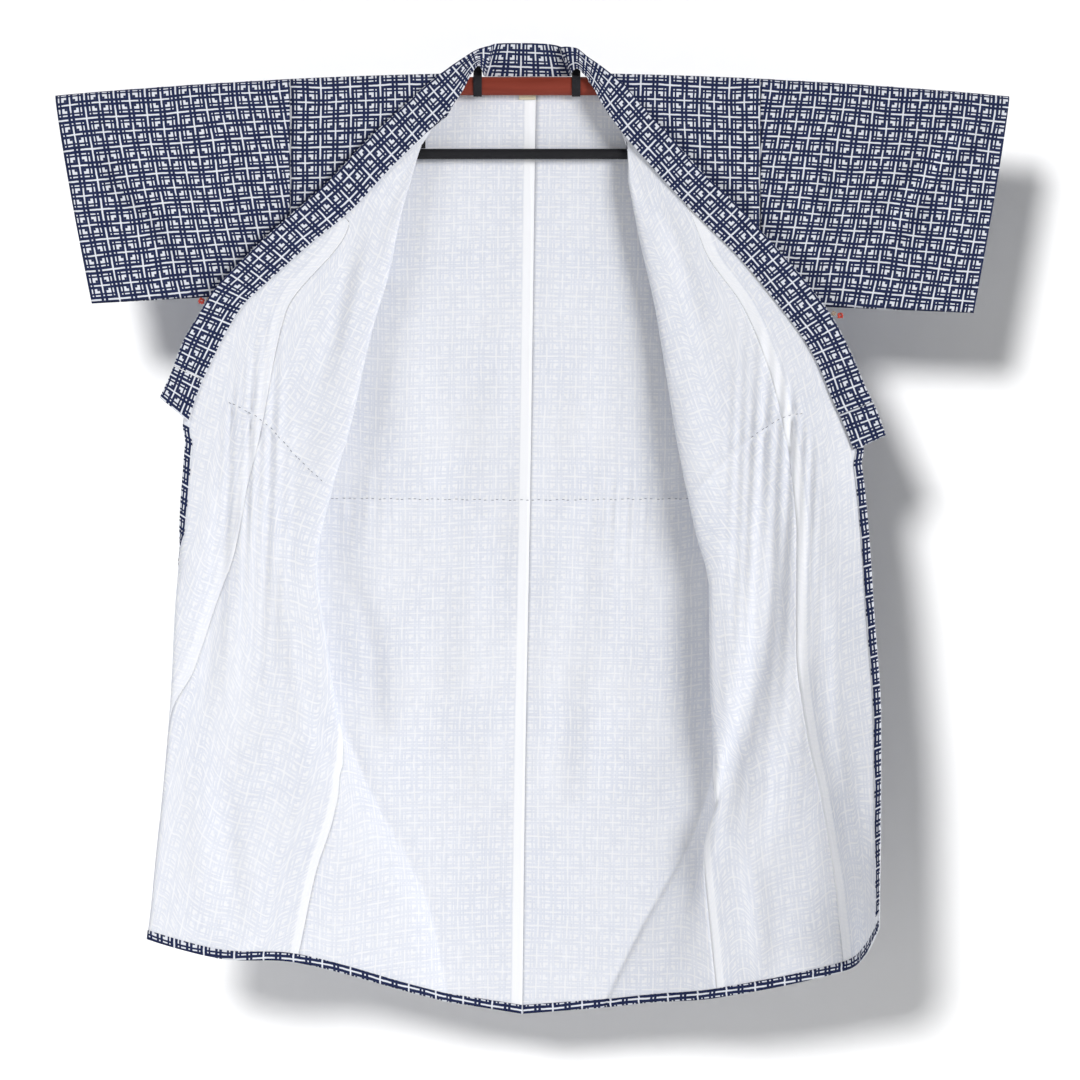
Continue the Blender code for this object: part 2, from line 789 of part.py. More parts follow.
def sleeve_grid(sleeve):
    rows = []
    for u in np.linspace(0, 1, SLEEVE_STATIONS):
        front = [sleeve_point(sleeve, u, t, True) for t in SLEEVE_DEPTHS]
        back = [sleeve_point(sleeve, u, t, False) for t in SLEEVE_DEPTHS[:0:-1]]
        low = sleeve_point(sleeve, u, 1.0, True)
        rows.append(front + [(low[0], 0.0, low[2])] + back)
    return np.array(rows)


def collar_grid(first, last):
    """The band between two places along the COLLAR table, with its width across each row."""
    table = np.array(COLLAR, float)
    places = np.arange(len(COLLAR), dtype=float)
    inner = places[(places > first + 0.15) & (places < last - 0.15)]
    wanted = np.concatenate([[first], inner, [last]])
    rows = []
    for place in wanted:
        values = [through(places, table[:, k], place) for k in range(6)]
        sewn = np.array((values[0], values[2], -values[1]))
        free = np.array((values[3], values[5], -values[4]))
        rows.append([sewn + (free - sewn) * share for share in np.linspace(0, 1, COLLAR_COLUMNS)])
    return np.array(rows)


def oval_ring(depth, height, count=20):
    turns = np.linspace(0, 2 * math.pi, count, endpoint=False)
    return [(depth * math.cos(turn), height * math.sin(turn)) for turn in turns]


def swept_oval(name, stations, material, count=20):
    """A closed bar along X; each station: across, depth and drop of its middle, half depth, half height."""
    mesh = bmesh.new()
    rings = []
    for across, depth, drop, half_depth, half_height in stations:
        ring = []
        for y, z in oval_ring(half_depth, half_height, count):
            ring.append(mesh.verts.new((across * MM, (depth + y) * MM, (z - drop) * MM)))
        rings.append(ring)
    for first, second in zip(rings, rings[1:]):
        for k in range(count):
            n = (k + 1) % count
            mesh.faces.new((first[k], first[n], second[n], second[k]))
    mesh.faces.new(rings[0][::-1])
    mesh.faces.new(rings[-1])
    bmesh.ops.recalc_face_normals(mesh, faces=mesh.faces)
    data = bpy.data.meshes.new(name)
    mesh.to_mesh(data)
    mesh.free()
    data.shade_smooth()
    return add_object(name, data, material)


def rounded_bar(name, start, end, middle, half_depth, half_height, rounding, material):
    """An oval bar from start to end along X, with eased ends; middle(across) gives its middle's drop."""
    stations = []
    way = math.copysign(1, end - start)
    for share in (1.0, 0.5, 0.15, 0.0):
        across = start + way * rounding * (1 - share)
        ease = rounding * (1 - math.sqrt(1 - share * share))
        stations.append((across, 0, middle(across), half_depth - ease, half_height - ease))
    for across in np.linspace(start + way * rounding, end - way * rounding, 9)[1:-1]:
        stations.append((across, 0, middle(across), half_depth, half_height))
    for share in (0.0, 0.15, 0.5, 1.0):
        across = end - way * rounding * (1 - share)
        ease = rounding * (1 - math.sqrt(1 - share * share))
        stations.append((across, 0, middle(across), half_depth - ease, half_height - ease))
    return swept_oval(name, stations, material)


def box_object(name, low, high, material, bevel=0.0):
    mesh = bmesh.new()
    bmesh.ops.create_cube(mesh, size=1.0)
    low, high = np.array(low, float), np.array(high, float)
    for vert in mesh.verts:
        vert.co = (low + (np.array(vert.co) + 0.5) * (high - low)) * MM
    if bevel:
        bmesh.ops.bevel(mesh, geom=mesh.edges[:], offset=bevel * MM, segments=2, affect="EDGES")
    data = bpy.data.meshes.new(name)
    mesh.to_mesh(data)
    mesh.free()
    return add_object(name, data, material)


def hollow_ring(name, across, depth, drop, inner, outer, width, material, count=24):
    """A band round the X direction; inner and outer are (half depth, half height)."""
    mesh = bmesh.new()
    loops = []
    for end in (-width / 2, width / 2):
        for size in (inner, outer):
            loop = []
            for y, z in oval_ring(size[0], size[1], count):
                loop.append(mesh.verts.new(((across + end) * MM, (depth + y) * MM, (z - drop) * MM)))
            loops.append(loop)
    for first, second in ((0, 1), (1, 3), (3, 2), (2, 0)):
        for k in range(count):
            n = (k + 1) % count
            mesh.faces.new((loops[first][k], loops[first][n], loops[second][n], loops[second][k]))
    bmesh.ops.recalc_face_normals(mesh, faces=mesh.faces)
    data = bpy.data.meshes.new(name)
    mesh.to_mesh(data)
    mesh.free()
    return add_object(name, data, material)


def join_by_union(base, tools):
    for tool in tools:
        tool.hide_render = True
        tool.display_type = "WIRE"
        union = base.modifiers.new("union_" + tool.name, "BOOLEAN")
        union.operation = "UNION"
        union.object = tool
    return base


def make_straps(black):
    """Two flat black straps, each a loop round the bar with an eye above it."""
    for name, across in zip(("left", "right"), STRAP_ACROSS):
        inner = (BAR_HALF_DEPTH + CLEARANCE, BAR_HALF_HEIGHT + CLEARANCE)
        outer = (inner[0] + STRAP_THICK, inner[1] + STRAP_THICK)
        loop = hollow_ring("hanging_strap_" + name, across, 0, BAR_DROP, inner, outer, STRAP_WIDTH, black, 28)
        eye_drop = EYE_OUTER
        stem_top = eye_drop + (EYE_INNER + EYE_OUTER) / 2
        stem_low = BAR_DROP - (inner[1] + outer[1]) / 2 + 0.9
        half = STRAP_THICK / 2
        width = STRAP_WIDTH / 2 - 0.02
        stem = box_object(
            "stem_" + name,
            (across - width, EYE_DEPTH - half, -stem_low),
            (across + width, EYE_DEPTH + half, -stem_top),
            black,
        )
        eye = hollow_ring(
            "eye_" + name,
            across,
            EYE_DEPTH,
            eye_drop,
            (EYE_INNER, EYE_INNER),
            (EYE_OUTER, EYE_OUTER),
            STRAP_WIDTH - 0.1,
            black,
        )
        join_by_union(loop, (stem, eye))


def make_hanger():
    red = finish("bar_lacquer", BAR_RED, 0.35)
    black = finish("hanger_black", HANGER_BLACK, 0.45)
    rounded_bar(
        "hanger_bar",
        -BAR_HALF_LENGTH,
        BAR_HALF_LENGTH,
        lambda across: BAR_DROP,
        BAR_HALF_DEPTH,
        BAR_HALF_HEIGHT,
        1.5,
        red,
    )

    def arm_middle(across):
        return shoulder_drop(across) + 3.2 + ARM_HALF_HEIGHT

    for name, way in (("left", -1), ("right", 1)):
        rounded_bar(
            "hanger_arm_" + name,
            way * (BAR_HALF_LENGTH + CLEARANCE),
            way * ARM_END,
            arm_middle,
            ARM_HALF_DEPTH,
            ARM_HALF_HEIGHT,
            3.0,
            black,
        )
        link_foot = -(LOW_BAR_DROP - LOW_BAR_RADIUS - CLEARANCE)
        link_top = -(BAR_DROP + BAR_HALF_HEIGHT + CLEARANCE)
        box_object(
            "hanger_link_" + name,
            (way * LINK_ACROSS - LINK_WIDTH / 2, -LINK_THICK / 2, link_foot),
            (way * LINK_ACROSS + LINK_WIDTH / 2, LINK_THICK / 2, link_top),
            black,
            0.5,
        )
    rounded_bar(
        "lower_bar",
        -LOW_BAR_HALF_LENGTH,
        LOW_BAR_HALF_LENGTH,
        lambda across: LOW_BAR_DROP,
        LOW_BAR_RADIUS,
        LOW_BAR_RADIUS,
        2.0,
        black,
    )
    make_straps(black)


def make_knot(name, across, depth, drop, size, material):
    mesh = bmesh.new()
    bmesh.ops.create_icosphere(mesh, subdivisions=2, radius=1.0)
    for vert in mesh.verts:
        x, y, z = vert.co
        waist = 1 - 0.25 * math.cos(3 * math.atan2(z, x))
        vert.co = (
            (across + x * size[0] * waist) * MM,
            (depth + y * size[1]) * MM,
            (z * size[2] * waist - drop) * MM,
        )
    data = bpy.data.meshes.new(name)
    mesh.to_mesh(data)
    mesh.free()
    data.shade_smooth()
    return add_object(name, data, material)


def make_tacks():
    """Thread tacks at the lower edge of each sleeve, beside the collar band."""
    red = finish("tack_red", TACK_RED, 0.8)
    beige = finish("tack_beige", TACK_BEIGE, 0.8)
    make_knot("sleeve_tack_left", -449, -12, 343.5, (5.0, 2.5, 4.2), red)
    make_knot("sleeve_loop_left", -440, -12, 341.5, (3.6, 1.6, 3.4), beige)
    make_knot("sleeve_tack_right", 431, -12, 363.5, (4.6, 2.5, 4.2), red)
    make_knot("sleeve_loop_right", 422, -12, 360.5, (3.8, 1.6, 3.4), beige)


def make_label():
    cream = finish("label_cream", LABEL_CREAM, 0.8)
    box_object("neck_label", (-13, 9.0, -65), (11, 9.8, -50), cream)


def make_robe():
    cloth = finish("printed_cotton", PRINT_NAVY, 0.85)
    for side in (LEFT, RIGHT):
        name = side["name"]
        walled(add_object("body_" + name, body_mesh(side), cloth), CLOTH_WALL)
        okumi = add_object("okumi_" + name, grid_mesh("okumi_" + name, okumi_grid(side)), cloth)
        walled(okumi, CLOTH_WALL)
        sleeve = grid_mesh("sleeve_" + name, sleeve_grid(SLEEVES[name]), closed=True)
        walled(add_object("sleeve_" + name, sleeve, cloth), CLOTH_WALL)
        for hem_name, parts in side["hems"]:
            walled(add_object(hem_name, grid_mesh(hem_name, hem_fold_grid(side, parts)), cloth), FOLD_WALL)
        edge = add_object("edge_fold_" + name, grid_mesh("edge_fold_" + name, edge_fold_grid(side)), cloth)
        walled(edge, FOLD_WALL)
    last = len(COLLAR) - 1
    step = 0.02
    for name, first, end in (
        ("collar_left", 0, OVER_COLLAR_FIRST - step),
        ("over_collar", OVER_COLLAR_FIRST, OVER_COLLAR_LAST),
        ("collar_right", OVER_COLLAR_LAST + step, last),
    ):
        band = add_object(name, grid_mesh(name, collar_grid(first, end)), cloth)
        walled(band, BAND_WALL)


clear_scene()
make_robe()
make_hanger()
make_tacks()
make_label()
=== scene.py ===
"""A short-sleeved cotton yukata robe on a kimono hanger, with both fronts turned wide open.

The cloth is laid out again along the lines from which the robe hangs, much finer than its solids, and
gets its creases, gathers, printed and plain faces, seam allowances and stitches here. Lengths in the
tables are in millimetres unless a name says otherwise.
"""

import json
import math

import bmesh
import bpy
import numpy as np
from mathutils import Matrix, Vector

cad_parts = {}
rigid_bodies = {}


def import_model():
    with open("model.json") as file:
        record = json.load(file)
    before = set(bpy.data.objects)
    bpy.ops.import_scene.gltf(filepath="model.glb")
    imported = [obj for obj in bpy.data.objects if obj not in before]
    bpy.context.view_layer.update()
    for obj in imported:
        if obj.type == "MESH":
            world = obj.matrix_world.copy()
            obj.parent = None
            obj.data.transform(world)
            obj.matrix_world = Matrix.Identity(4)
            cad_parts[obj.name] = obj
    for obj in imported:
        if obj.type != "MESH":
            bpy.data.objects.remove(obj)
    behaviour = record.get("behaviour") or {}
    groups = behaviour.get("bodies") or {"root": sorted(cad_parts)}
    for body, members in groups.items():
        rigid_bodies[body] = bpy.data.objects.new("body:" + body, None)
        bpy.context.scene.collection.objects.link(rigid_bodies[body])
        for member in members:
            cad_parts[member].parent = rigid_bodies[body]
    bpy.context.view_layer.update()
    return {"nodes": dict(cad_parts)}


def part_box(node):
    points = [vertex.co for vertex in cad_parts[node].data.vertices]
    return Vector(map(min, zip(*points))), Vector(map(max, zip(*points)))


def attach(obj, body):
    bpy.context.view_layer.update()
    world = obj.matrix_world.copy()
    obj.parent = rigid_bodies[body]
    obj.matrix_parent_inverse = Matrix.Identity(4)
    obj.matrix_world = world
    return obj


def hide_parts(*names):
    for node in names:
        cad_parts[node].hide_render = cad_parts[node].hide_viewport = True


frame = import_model()

MM = 0.001

# The lines of the hang, as the solids have them
CLOTH_WALL = 1.2
SEAM_GAP = 0.14
HEM_TURN = 12.0
TUCK_UNDER = 7.0
LAP_FROM = 7.0
EDGE_ROLL_TOP = 8.0
EDGE_ROLL = 42.0
OUTER_ROLL = 26.0
GORE_ROW = 0.17
ARMHOLE_ROW = 0.238
COLLAR_END_ROW = 0.5
LAP_STARTS_ROW = 0.065
WAIST_ROW = 0.45
LEVEL_ROWS = (0.0, LAP_STARTS_ROW, GORE_ROW, WAIST_ROW, 1.0)
SHOULDER_TOP = 28.5
SHOULDER_DROOP = 32.0
SHOULDER_REACH = 658.0
SHOULDER_POWER = 1.9
HALF_AT_SLEEVE = 8.5
SLEEVES = {
    "left": {"seam": -328.0, "cuff_top": -652.0, "cuff_low": -602.0, "seam_drop": 331.0, "cuff_drop": 346.0},
    "right": {"seam": 320.0, "cuff_top": 664.0, "cuff_low": 615.0, "seam_drop": 347.0, "cuff_drop": 359.0},
}
SLEEVE_BOTTOM_HALF = 3.0
SLEEVE_BULGE = 3.5
SLEEVE_TOP_ROUND = 12.0
PATH_STEPS = 16
LAP_LEAST = 26.0
LEG_LEAST = 60.0
FOLDED_SEAM_GAP = 0.06

# The centre-back seam, which both sides share: drop, across, depth
CENTRE_BACK = (
    (40, 11, 11), (340, 7, 13), (618, 3, 17), (1000, -4, 22), (1330, -8, 26),
)
CENTRE_BACK_LEVELS = (40, 124, 258, 618, 1329)
BACK_MIDDLE_DEPTH = (
    # drop, depth
    (40, 11), (340, 12), (618, 19), (900, 21), (1320, 25),
)

# Each side's lines. levels: the drop at the shoulder, the gore's point, the waist tuck and the hem.
# side_fold and edge_fold have a fourth column, open: 0 where the cloth turns back on itself in a tight fold,
# 1 where it runs on smoothly.
LEFT = {
    "name": "left",
    "out": -1,
    "side_fold": {
        "levels": (49, 128, 258, 615, 1312),
        "stations": (
            (49, -328, 0, 0.0), (520, -326, 0, 0.0), (650, -319, 0, 0.0), (756, -306, 0, 0.1),
            (850, -290, 0, 0.3), (954, -247, 2, 1.0), (1046, -205, 10, 1.0), (1181, -138, 18, 1.0),
            (1312, -112, 20, 1.0),
        ),
    },
    "edge_fold": {
        "levels": (41, 120, 255, 604, 1300),
        "stations": (
            (41, -85, -11, 1.0), (72, -103, -12, 0.9), (90, -113, -13, 0.4), (120, -131, -14, 0.1),
            (155, -152, -15, 0.0), (217, -173, -16, 0.0), (308, -192, -17, 0.0), (382, -214, -18, 0.0),
            (522, -246, -20, 0.0), (604, -270, -22, 0.0), (709, -290, -26, 0.1), (800, -279, -27, 0.3),
            (876, -269, -26, 0.6), (954, -262, -22, 1.0), (1046, -229, -14, 1.0), (1181, -171, -4, 1.0),
            (1300, -154, 4, 1.0),
        ),
    },
    "lap_inner": {
        "levels": (41, 107, 240, 563, 1254),
        "stations": (
            (41, -86, -11), (72, -104, -13), (107, -134, -16), (150, -165, -18), (236, -214, -20),
            (359, -270, -22), (522, -304, -26), (640, -330, -32), (756, -340, -36), (861, -330, -36),
            (954, -306, -36), (1028, -286, -34), (1170, -305, -32), (1254, -318, -32),
        ),
    },
    "lap_middle": {
        "levels": (41, 108, 221, 510, 1247),
        "stations": (
            (41, -87, -11), (72, -105, -13.5), (103, -133, -16), (145, -175, -18.5), (221, -245, -21),
            (236, -246, -21.5), (359, -333, -24), (522, -367, -29), (639, -392, -38), (756, -400, -40),
            (861, -408, -44), (1007, -414, -46), (1247, -424, -50),
        ),
    },
    "outer": {
        "levels": (41, 109, 221, 476, 1220),
        "stations": (
            (41, -88, -11), (72, -106, -13.5), (103, -133, -16), (145, -175, -18.5), (221, -246, -21),
            (290, -302, -23), (359, -366, -25), (472, -424, -29), (577, -448, -36), (646, -459, -41),
            (700, -476, -48), (756, -483, -50), (861, -488, -54), (1007, -499, -58), (1115, -510, -60),
            (1220, -521, -62),
        ),
    },
    "free_edge": {
        "levels": (41, 110, 221, 460, 1232),
        "stations": (
            (41, -88.5, -11), (72, -106.5, -13.5), (103, -133, -16), (145, -175, -18.5),
            (221, -247, -21), (265, -301, -22), (324, -367, -24), (381, -414, -26), (419, -431, -27.5),
            (469, -455, -29), (506, -467, -30.5), (577, -474, -35), (646, -478, -39), (700, -476, -32),
            (756, -463, -31), (861, -438, -26), (1007, -405, -24), (1232, -372, -22),
        ),
    },
    # row, and how far the cloth turns back behind itself at the outer line
    "outer_closes": ((0.0, 0.0), (0.6, 0.0), (0.68, 1.0), (1.0, 1.0)),
    # row, and where on the row the side seam stands
    "side_seam": ((0.65, 2.5), (0.71, 3.4), (0.75, 4.0), (0.785, 4.4), (0.83, 4.75), (0.9, 4.95), (1.0, 5.0)),
    # row, and how far the overlap's seam stands from lap_middle to outer
    "gore_seam": ((0.45, 0.0), (0.54, 0.0), (0.64, 0.23), (0.73, 0.5), (0.81, 1.0), (1.0, 1.0)),
    # the hem's strips: the left one is folded in two where the overlap turns back
    "hems": (("hem_fold_left", ("body",)), ("hem_fold_turned_back", ("overlap",))),
}
RIGHT = {
    "name": "right",
    "out": 1,
    "side_fold": {
        "levels": (49, 128, 258, 615, 1320),
        "stations": (
            (49, 320, 0, 0.0), (480, 318, 0, 0.0), (549, 314, 0, 0.0), (756, 294, 0, 0.1),
            (894, 276, 0, 0.3), (1013, 250, 4, 1.0), (1087, 226, 12, 1.0), (1206, 161, 18, 1.0),
            (1320, 106, 22, 1.0),
        ),
    },
    "edge_fold": {
        "levels": (41, 119, 245, 616, 1312),
        "stations": (
            (41, 84, -11, 1.0), (59, 97, -12, 1.0), (84, 110, -13, 0.6), (119, 127, -14, 0.1),
            (187, 140, -16, 0.0), (250, 152, -16, 0.0), (352, 175, -17, 0.0), (442, 190, -18, 0.0),
            (535, 205, -20, 0.0), (658, 230, -24, 0.0), (738, 249, -27, 0.0), (862, 250, -28, 0.1),
            (991, 256, -26, 0.5), (1087, 250, -12, 1.0), (1206, 206, -2, 1.0), (1312, 168, 6, 1.0),
        ),
    },
    "lap_inner": {
        "levels": (41, 111, 225, 545, 1303),
        "stations": (
            (41, 85, -11), (84, 112, -14), (111, 129.5, -16), (144, 153, -18), (226, 196, -20),
            (349, 240, -22), (500, 282, -25), (600, 300, -26), (756, 312, -30), (894, 300, -32),
            (1013, 272, -30), (1098, 246, -26), (1303, 260, -24),
        ),
    },
    "lap_middle": {
        "levels": (41, 112, 201, 506, 1263),
        "stations": (
            (41, 86, -11), (84, 114, -14.5), (121, 139, -17), (145, 160, -18.5), (201, 211, -20.5),
            (226, 225, -21.5), (280, 246, -22.5), (349, 294, -24), (399, 317, -26), (472, 341, -29),
            (588, 363, -36), (669, 369, -42), (829, 369, -50), (937, 382, -54), (1024, 402, -58),
            (1141, 421, -62), (1263, 434, -64),
        ),
    },
    "outer": {
        "levels": (41, 112.6, 201, 497, 1238),
        "stations": (
            (41, 87, -11), (84, 115, -14.5), (121, 139, -17), (145, 160, -18.5), (201, 212, -20.5),
            (280, 267, -23), (349, 318, -24.5), (472, 377, -29), (588, 412, -44), (669, 418, -52),
            (829, 428, -68), (937, 435, -80), (1024, 444, -92), (1141, 456, -102), (1238, 460, -106),
        ),
    },
    "free_edge": {
        "levels": (41, 113.2, 201, 488, 1200),
        "stations": (
            (41, 87.5, -11), (84, 116, -14.5), (121, 139, -17), (145, 160, -18.5), (201, 213, -20.5),
            (240, 249, -22), (283, 291, -23), (354, 348, -25), (431, 399, -27), (505, 434, -29),
            (548, 455, -32), (669, 468, -56), (777, 474, -74), (911, 482, -92), (1018, 481, -108),
            (1200, 477, -136),
        ),
    },
    "outer_closes": ((0.0, 0.0), (1.0, 0.0)),
    "side_seam": ((0.65, 2.5), (0.72, 3.4), (0.76, 4.0), (0.8, 4.45), (0.85, 4.8), (0.92, 4.97), (1.0, 5.0)),
    "gore_seam": ((0.45, 0.0), (1.0, 0.0)),
    "hems": (("hem_fold_right", ("body", "overlap")),),
}

# The collar band from its left end over the neck to its right end.
# sewn_across, sewn_drop, sewn_depth, free_across, free_drop, free_depth
COLLAR = (
    (-468, 509, -33.6, -506, 477, -33.2), (-455, 469, -31.8, -493, 449, -31.6),
    (-432, 418, -29.8, -474, 399, -29.8), (-412, 379, -28.6, -453, 363, -28.6),
    (-392, 348, -27.7, -433, 331, -27.7), (-367, 324, -26.7, -403, 298, -26.7),
    (-334, 294, -25.6, -370, 265, -25.6), (-301, 265, -24.8, -333, 231, -24.8),
    (-245, 219, -23.8, -278, 183, -23.6), (-190, 160, -23.2, -223, 124, -21.8),
    (-140, 111, -21.8, -171, 75, -17.0), (-110, 80, -19.4, -139, 45, -15.4),
    (-90, 52, -16.2, -112, 24, -11.5), (-78, 29, -13.0, -91, 9, -5.0), (-68, 18, -8.0, -70, -4, -1.5),
    (-62, 27, -3.0, -55, -9, 0.5), (-60, 31, 6.0, -50, -11, 6.0), (-58, 31, 12.6, -45, -13, 12.6),
    (-28, 31, 14.2, -24, -14, 14.2), (0, 31, 14.6, 0, -14, 14.6), (30, 31, 14.2, 24, -13, 14.2),
    (58, 31, 12.6, 42, -10, 12.6), (59, 31, 6.0, 46, -8, 6.0), (60, 27, -3.0, 52, -8, 0.5),
    (67, 22, -8.0, 66, -6, -1.5), (79, 32, -13.0, 82, 6, -5.0), (90, 48, -16.2, 100, 19, -11.5),
    (105, 75, -19.4, 131, 45, -15.4), (132, 113, -21.8, 164, 83, -17.0),
    (163, 149, -22.8, 195, 117, -21.4), (210, 201, -23.4, 243, 170, -23.0),
    (249, 241, -24.4, 283, 208, -24.4), (291, 283, -25.4, 325, 252, -25.4),
    (348, 352, -27.4, 386, 323, -27.4), (377, 391, -28.4, 419, 367, -28.4),
    (400, 431, -29.6, 443, 413, -29.6), (420, 480, -31.2, 464, 462, -31.2),
    (435, 513, -33.4, 480, 496, -33.0), (449, 549, -37.0, 492, 529, -36.0),
)
OVER_COLLAR_FIRST = 1.35
OVER_COLLAR_LAST = 36.6

# The finer division of the cloth
FINE_ROWS = 176
LEG_COLUMNS = 13
LAP_COLUMNS = 40
BACK_COLUMNS_IN = 9
OKUMI_COLUMNS = 13
HEM_ROWS = (0.9905, 0.9935, 0.9965, 1.0)
ARC_TURNS = (20, 45, 70, 90, 110, 135, 160)
TIP_STEPS = (-16.0, -11.0, -7.5, -4.5, -2.0, 0.0, 2.0, 4.5, 7.5, 11.0, 16.0)
COTTON = 0.7
STRIP_WALL = 0.6
STRIP_STANDS = 1.1
LAYERS_APART = 1.5
BAND_WIDTH = 48.0
COTTON_FOLD = 0.75
BAND_TURNED_IN = 1.4
GRAIN_STEP = 6.0
GORE_EASE = 0.015
# The rows from which the side fold is open, and how many rows it takes to open
OPEN_FROM, OPEN_OVER = 0.72, 0.08

# Soft creases: layer, height in mm (towards the viewer above 0), width, and the line in across, drop
CREASES = (
    ("back", -3.0, 16, ((-244, 712), (-215, 822), (-206, 950))),
    ("back", -2.5, 22, ((-317, 822), (-259, 954), (-221, 1046), (-192, 1114), (-153, 1181))),
    ("back", 3.0, 20, ((-297, 810), (-238, 950), (-196, 1050), (-165, 1120))),
    ("back", 3.5, 17, ((248, 985), (262, 1013), (249, 1087), (219, 1152), (175, 1206), (138, 1260))),
    ("back", -3.0, 18, ((228, 985), (240, 1020), (226, 1090), (196, 1150), (150, 1204))),
    ("back", -2.0, 26, ((-120, 420), (-112, 560), (-126, 700))),
    ("back", 1.8, 30, ((-60, 700), (-78, 900), (-60, 1180))),
    ("back", -2.4, 24, ((40, 760), (52, 930), (36, 1150), (60, 1290))),
    ("back", 2.2, 28, ((110, 640), (118, 800), (92, 1000), (118, 1200))),
    ("back", -2.0, 20, ((-150, 1010), (-120, 1140), (-132, 1260))),
    ("lap", -4.0, 15, ((-411, 590), (-428, 760), (-446, 922))),
    ("lap", 3.0, 20, ((-385, 600), (-404, 780), (-420, 940))),
    ("lap", -3.0, 17, ((-418, 1004), (-408, 1110), (-396, 1225))),
    ("lap", 2.4, 20, ((-450, 960), (-446, 1090), (-440, 1230))),
    ("lap", -2.2, 9, ((-300, 709), (-286, 760), (-280, 800))),
    ("lap", -2.4, 8, ((-291, 752), (-277, 800), (-271, 850))),
    ("lap", -2.0, 8, ((-281, 800), (-271, 840), (-267, 876))),
    ("lap", 2.4, 14, ((-345, 640), (-336, 760), (-316, 880), (-300, 1000))),
    ("lap", -4.5, 15, ((337, 590), (337, 738), (312, 870), (276, 1016), (262, 1080))),
    ("lap", 3.5, 18, ((300, 560), (306, 700), (284, 850), (262, 960))),
    ("lap", 3.5, 20, ((372, 640), (366, 800), (334, 960), (318, 1100))),
    ("lap", -2.6, 16, ((306, 1101), (316, 1190), (320, 1281))),
    ("lap", 2.4, 20, ((400, 700), (402, 860), (420, 1010), (436, 1160))),
    ("lap", -2.4, 18, ((430, 780), (428, 930), (446, 1080))),
    ("lap", -1.6, 12, ((176, 190), (214, 300), (246, 420))),
    ("lap", 1.8, 14, ((-206, 210), (-236, 330), (-262, 450))),
    ("lap", -1.6, 12, ((-238, 250), (-262, 380), (-290, 470))),
    ("sleeve", -4.4, 14, ((-611, 92), (-582, 199), (-535, 233), (-486, 302), (-461, 316))),
    ("sleeve", 3.6, 16, ((-590, 80), (-556, 180), (-510, 214), (-462, 286))),
    ("sleeve", -4.0, 14, ((628, 92), (611, 115), (567, 168), (530, 215), (493, 265), (449, 309))),
    ("sleeve", 3.6, 16, ((600, 84), (545, 160), (505, 214), (470, 258))),
    ("sleeve", -2.6, 20, ((-420, 90), (-410, 190), (-424, 300))),
    ("sleeve", -2.8, 20, ((400, 96), (392, 200), (410, 320))),
    ("sleeve", 2.6, 22, ((520, 90), (560, 200), (575, 330))),
)

# Gathers under the waist tuck: layer, from and to across, height, how far down they reach, ripple length
GATHERS = (
    ("lap", -455, -330, 2.6, 130, 15.0),
    ("back", 92, 172, 1.5, 60, 13.0),
    ("back", -262, -180, 0.8, 45, 17.0),
    ("lap", 282, 432, 2.8, 150, 16.5),
)
CREASE_DEPTH = 1.7
GATHER_DEPTH = 1.3
UNEVEN_DEPTH = 1.5
SEWN_DOWN_OVER = 22
WAIST_TUCK = 1.5
# Where the print's wide line runs along the hem's strip, and how far it drifts up and down
HEM_LINE = 8.5
HEM_DRIFT = 4.5

# Print and cloth, in metres
REPEAT = 0.0415
BACK_BAND = 0.0165
SIDE_BAND = 0.013
GORE_BAND = 0.0165
BAND_EDGE = 0.0025
SIDE_BAND_SHOWS = 0.75
GORE_BAND_SHOWS = {"left": 0.35, "right": 0.7}
SHOW_THROUGH = 0.27

NAVY = (0.008, 0.013, 0.05, 1)
NAVY_WORN = (0.02, 0.03, 0.09, 1)
DYED_WHITE = (0.76, 0.785, 0.85, 1)
INSIDE_WHITE = (0.86, 0.87, 0.905, 1)
INSIDE_SHADE = (0.46, 0.52, 0.68, 1)
BAND_WHITE = (0.9, 0.91, 0.94, 1)
NO_SEAM = 500.0

# Backdrop and camera, in metres
WALL_DEPTH = 0.2
FLOOR = -1.8
VIEW_WIDTH = 1.4904
VIEW_DISTANCE = 8.0
VIEW_CENTRE = (0.0166, -0.673)


def smoothstep(x):
    x = np.clip(x, 0.0, 1.0)
    return x * x * (3 - 2 * x)


def through(places, values, at):
    """A smooth curve through the values, with no overshoot between them."""
    places = np.asarray(places, float)
    values = np.asarray(values, float)
    steps = np.diff(places)
    slopes = np.diff(values) / steps
    tangent = np.zeros(len(places))
    tangent[0], tangent[-1] = slopes[0], slopes[-1]
    same_way = slopes[:-1] * slopes[1:] > 0
    tangent[1:-1][same_way] = 2 / (1 / slopes[:-1][same_way] + 1 / slopes[1:][same_way])
    at = float(np.clip(at, places[0], places[-1]))
    k = int(np.clip(np.searchsorted(places, at) - 1, 0, len(steps) - 1))
    t = (at - places[k]) / steps[k]
    start = (1 + 2 * t) * (1 - t) ** 2 * values[k] + t * (1 - t) ** 2 * steps[k] * tangent[k]
    end = t * t * (3 - 2 * t) * values[k + 1] + t * t * (t - 1) * steps[k] * tangent[k + 1]
    return start + end


def column(stations, index):
    return [station[index] for station in stations]


def station_at(line, row):
    """drop, across, depth and, on a fold line, open: where a row of cloth crosses a line."""
    drop = through(LEVEL_ROWS, line["levels"], row)
    stations = line["stations"]
    drops = column(stations, 0)
    return [drop] + [through(drops, column(stations, k), drop) for k in range(1, len(stations[0]))]


def centre_back_at(row):
    drop = through(LEVEL_ROWS, CENTRE_BACK_LEVELS, row)
    drops = column(CENTRE_BACK, 0)
    return drop, through(drops, column(CENTRE_BACK, 1), drop), through(drops, column(CENTRE_BACK, 2), drop)


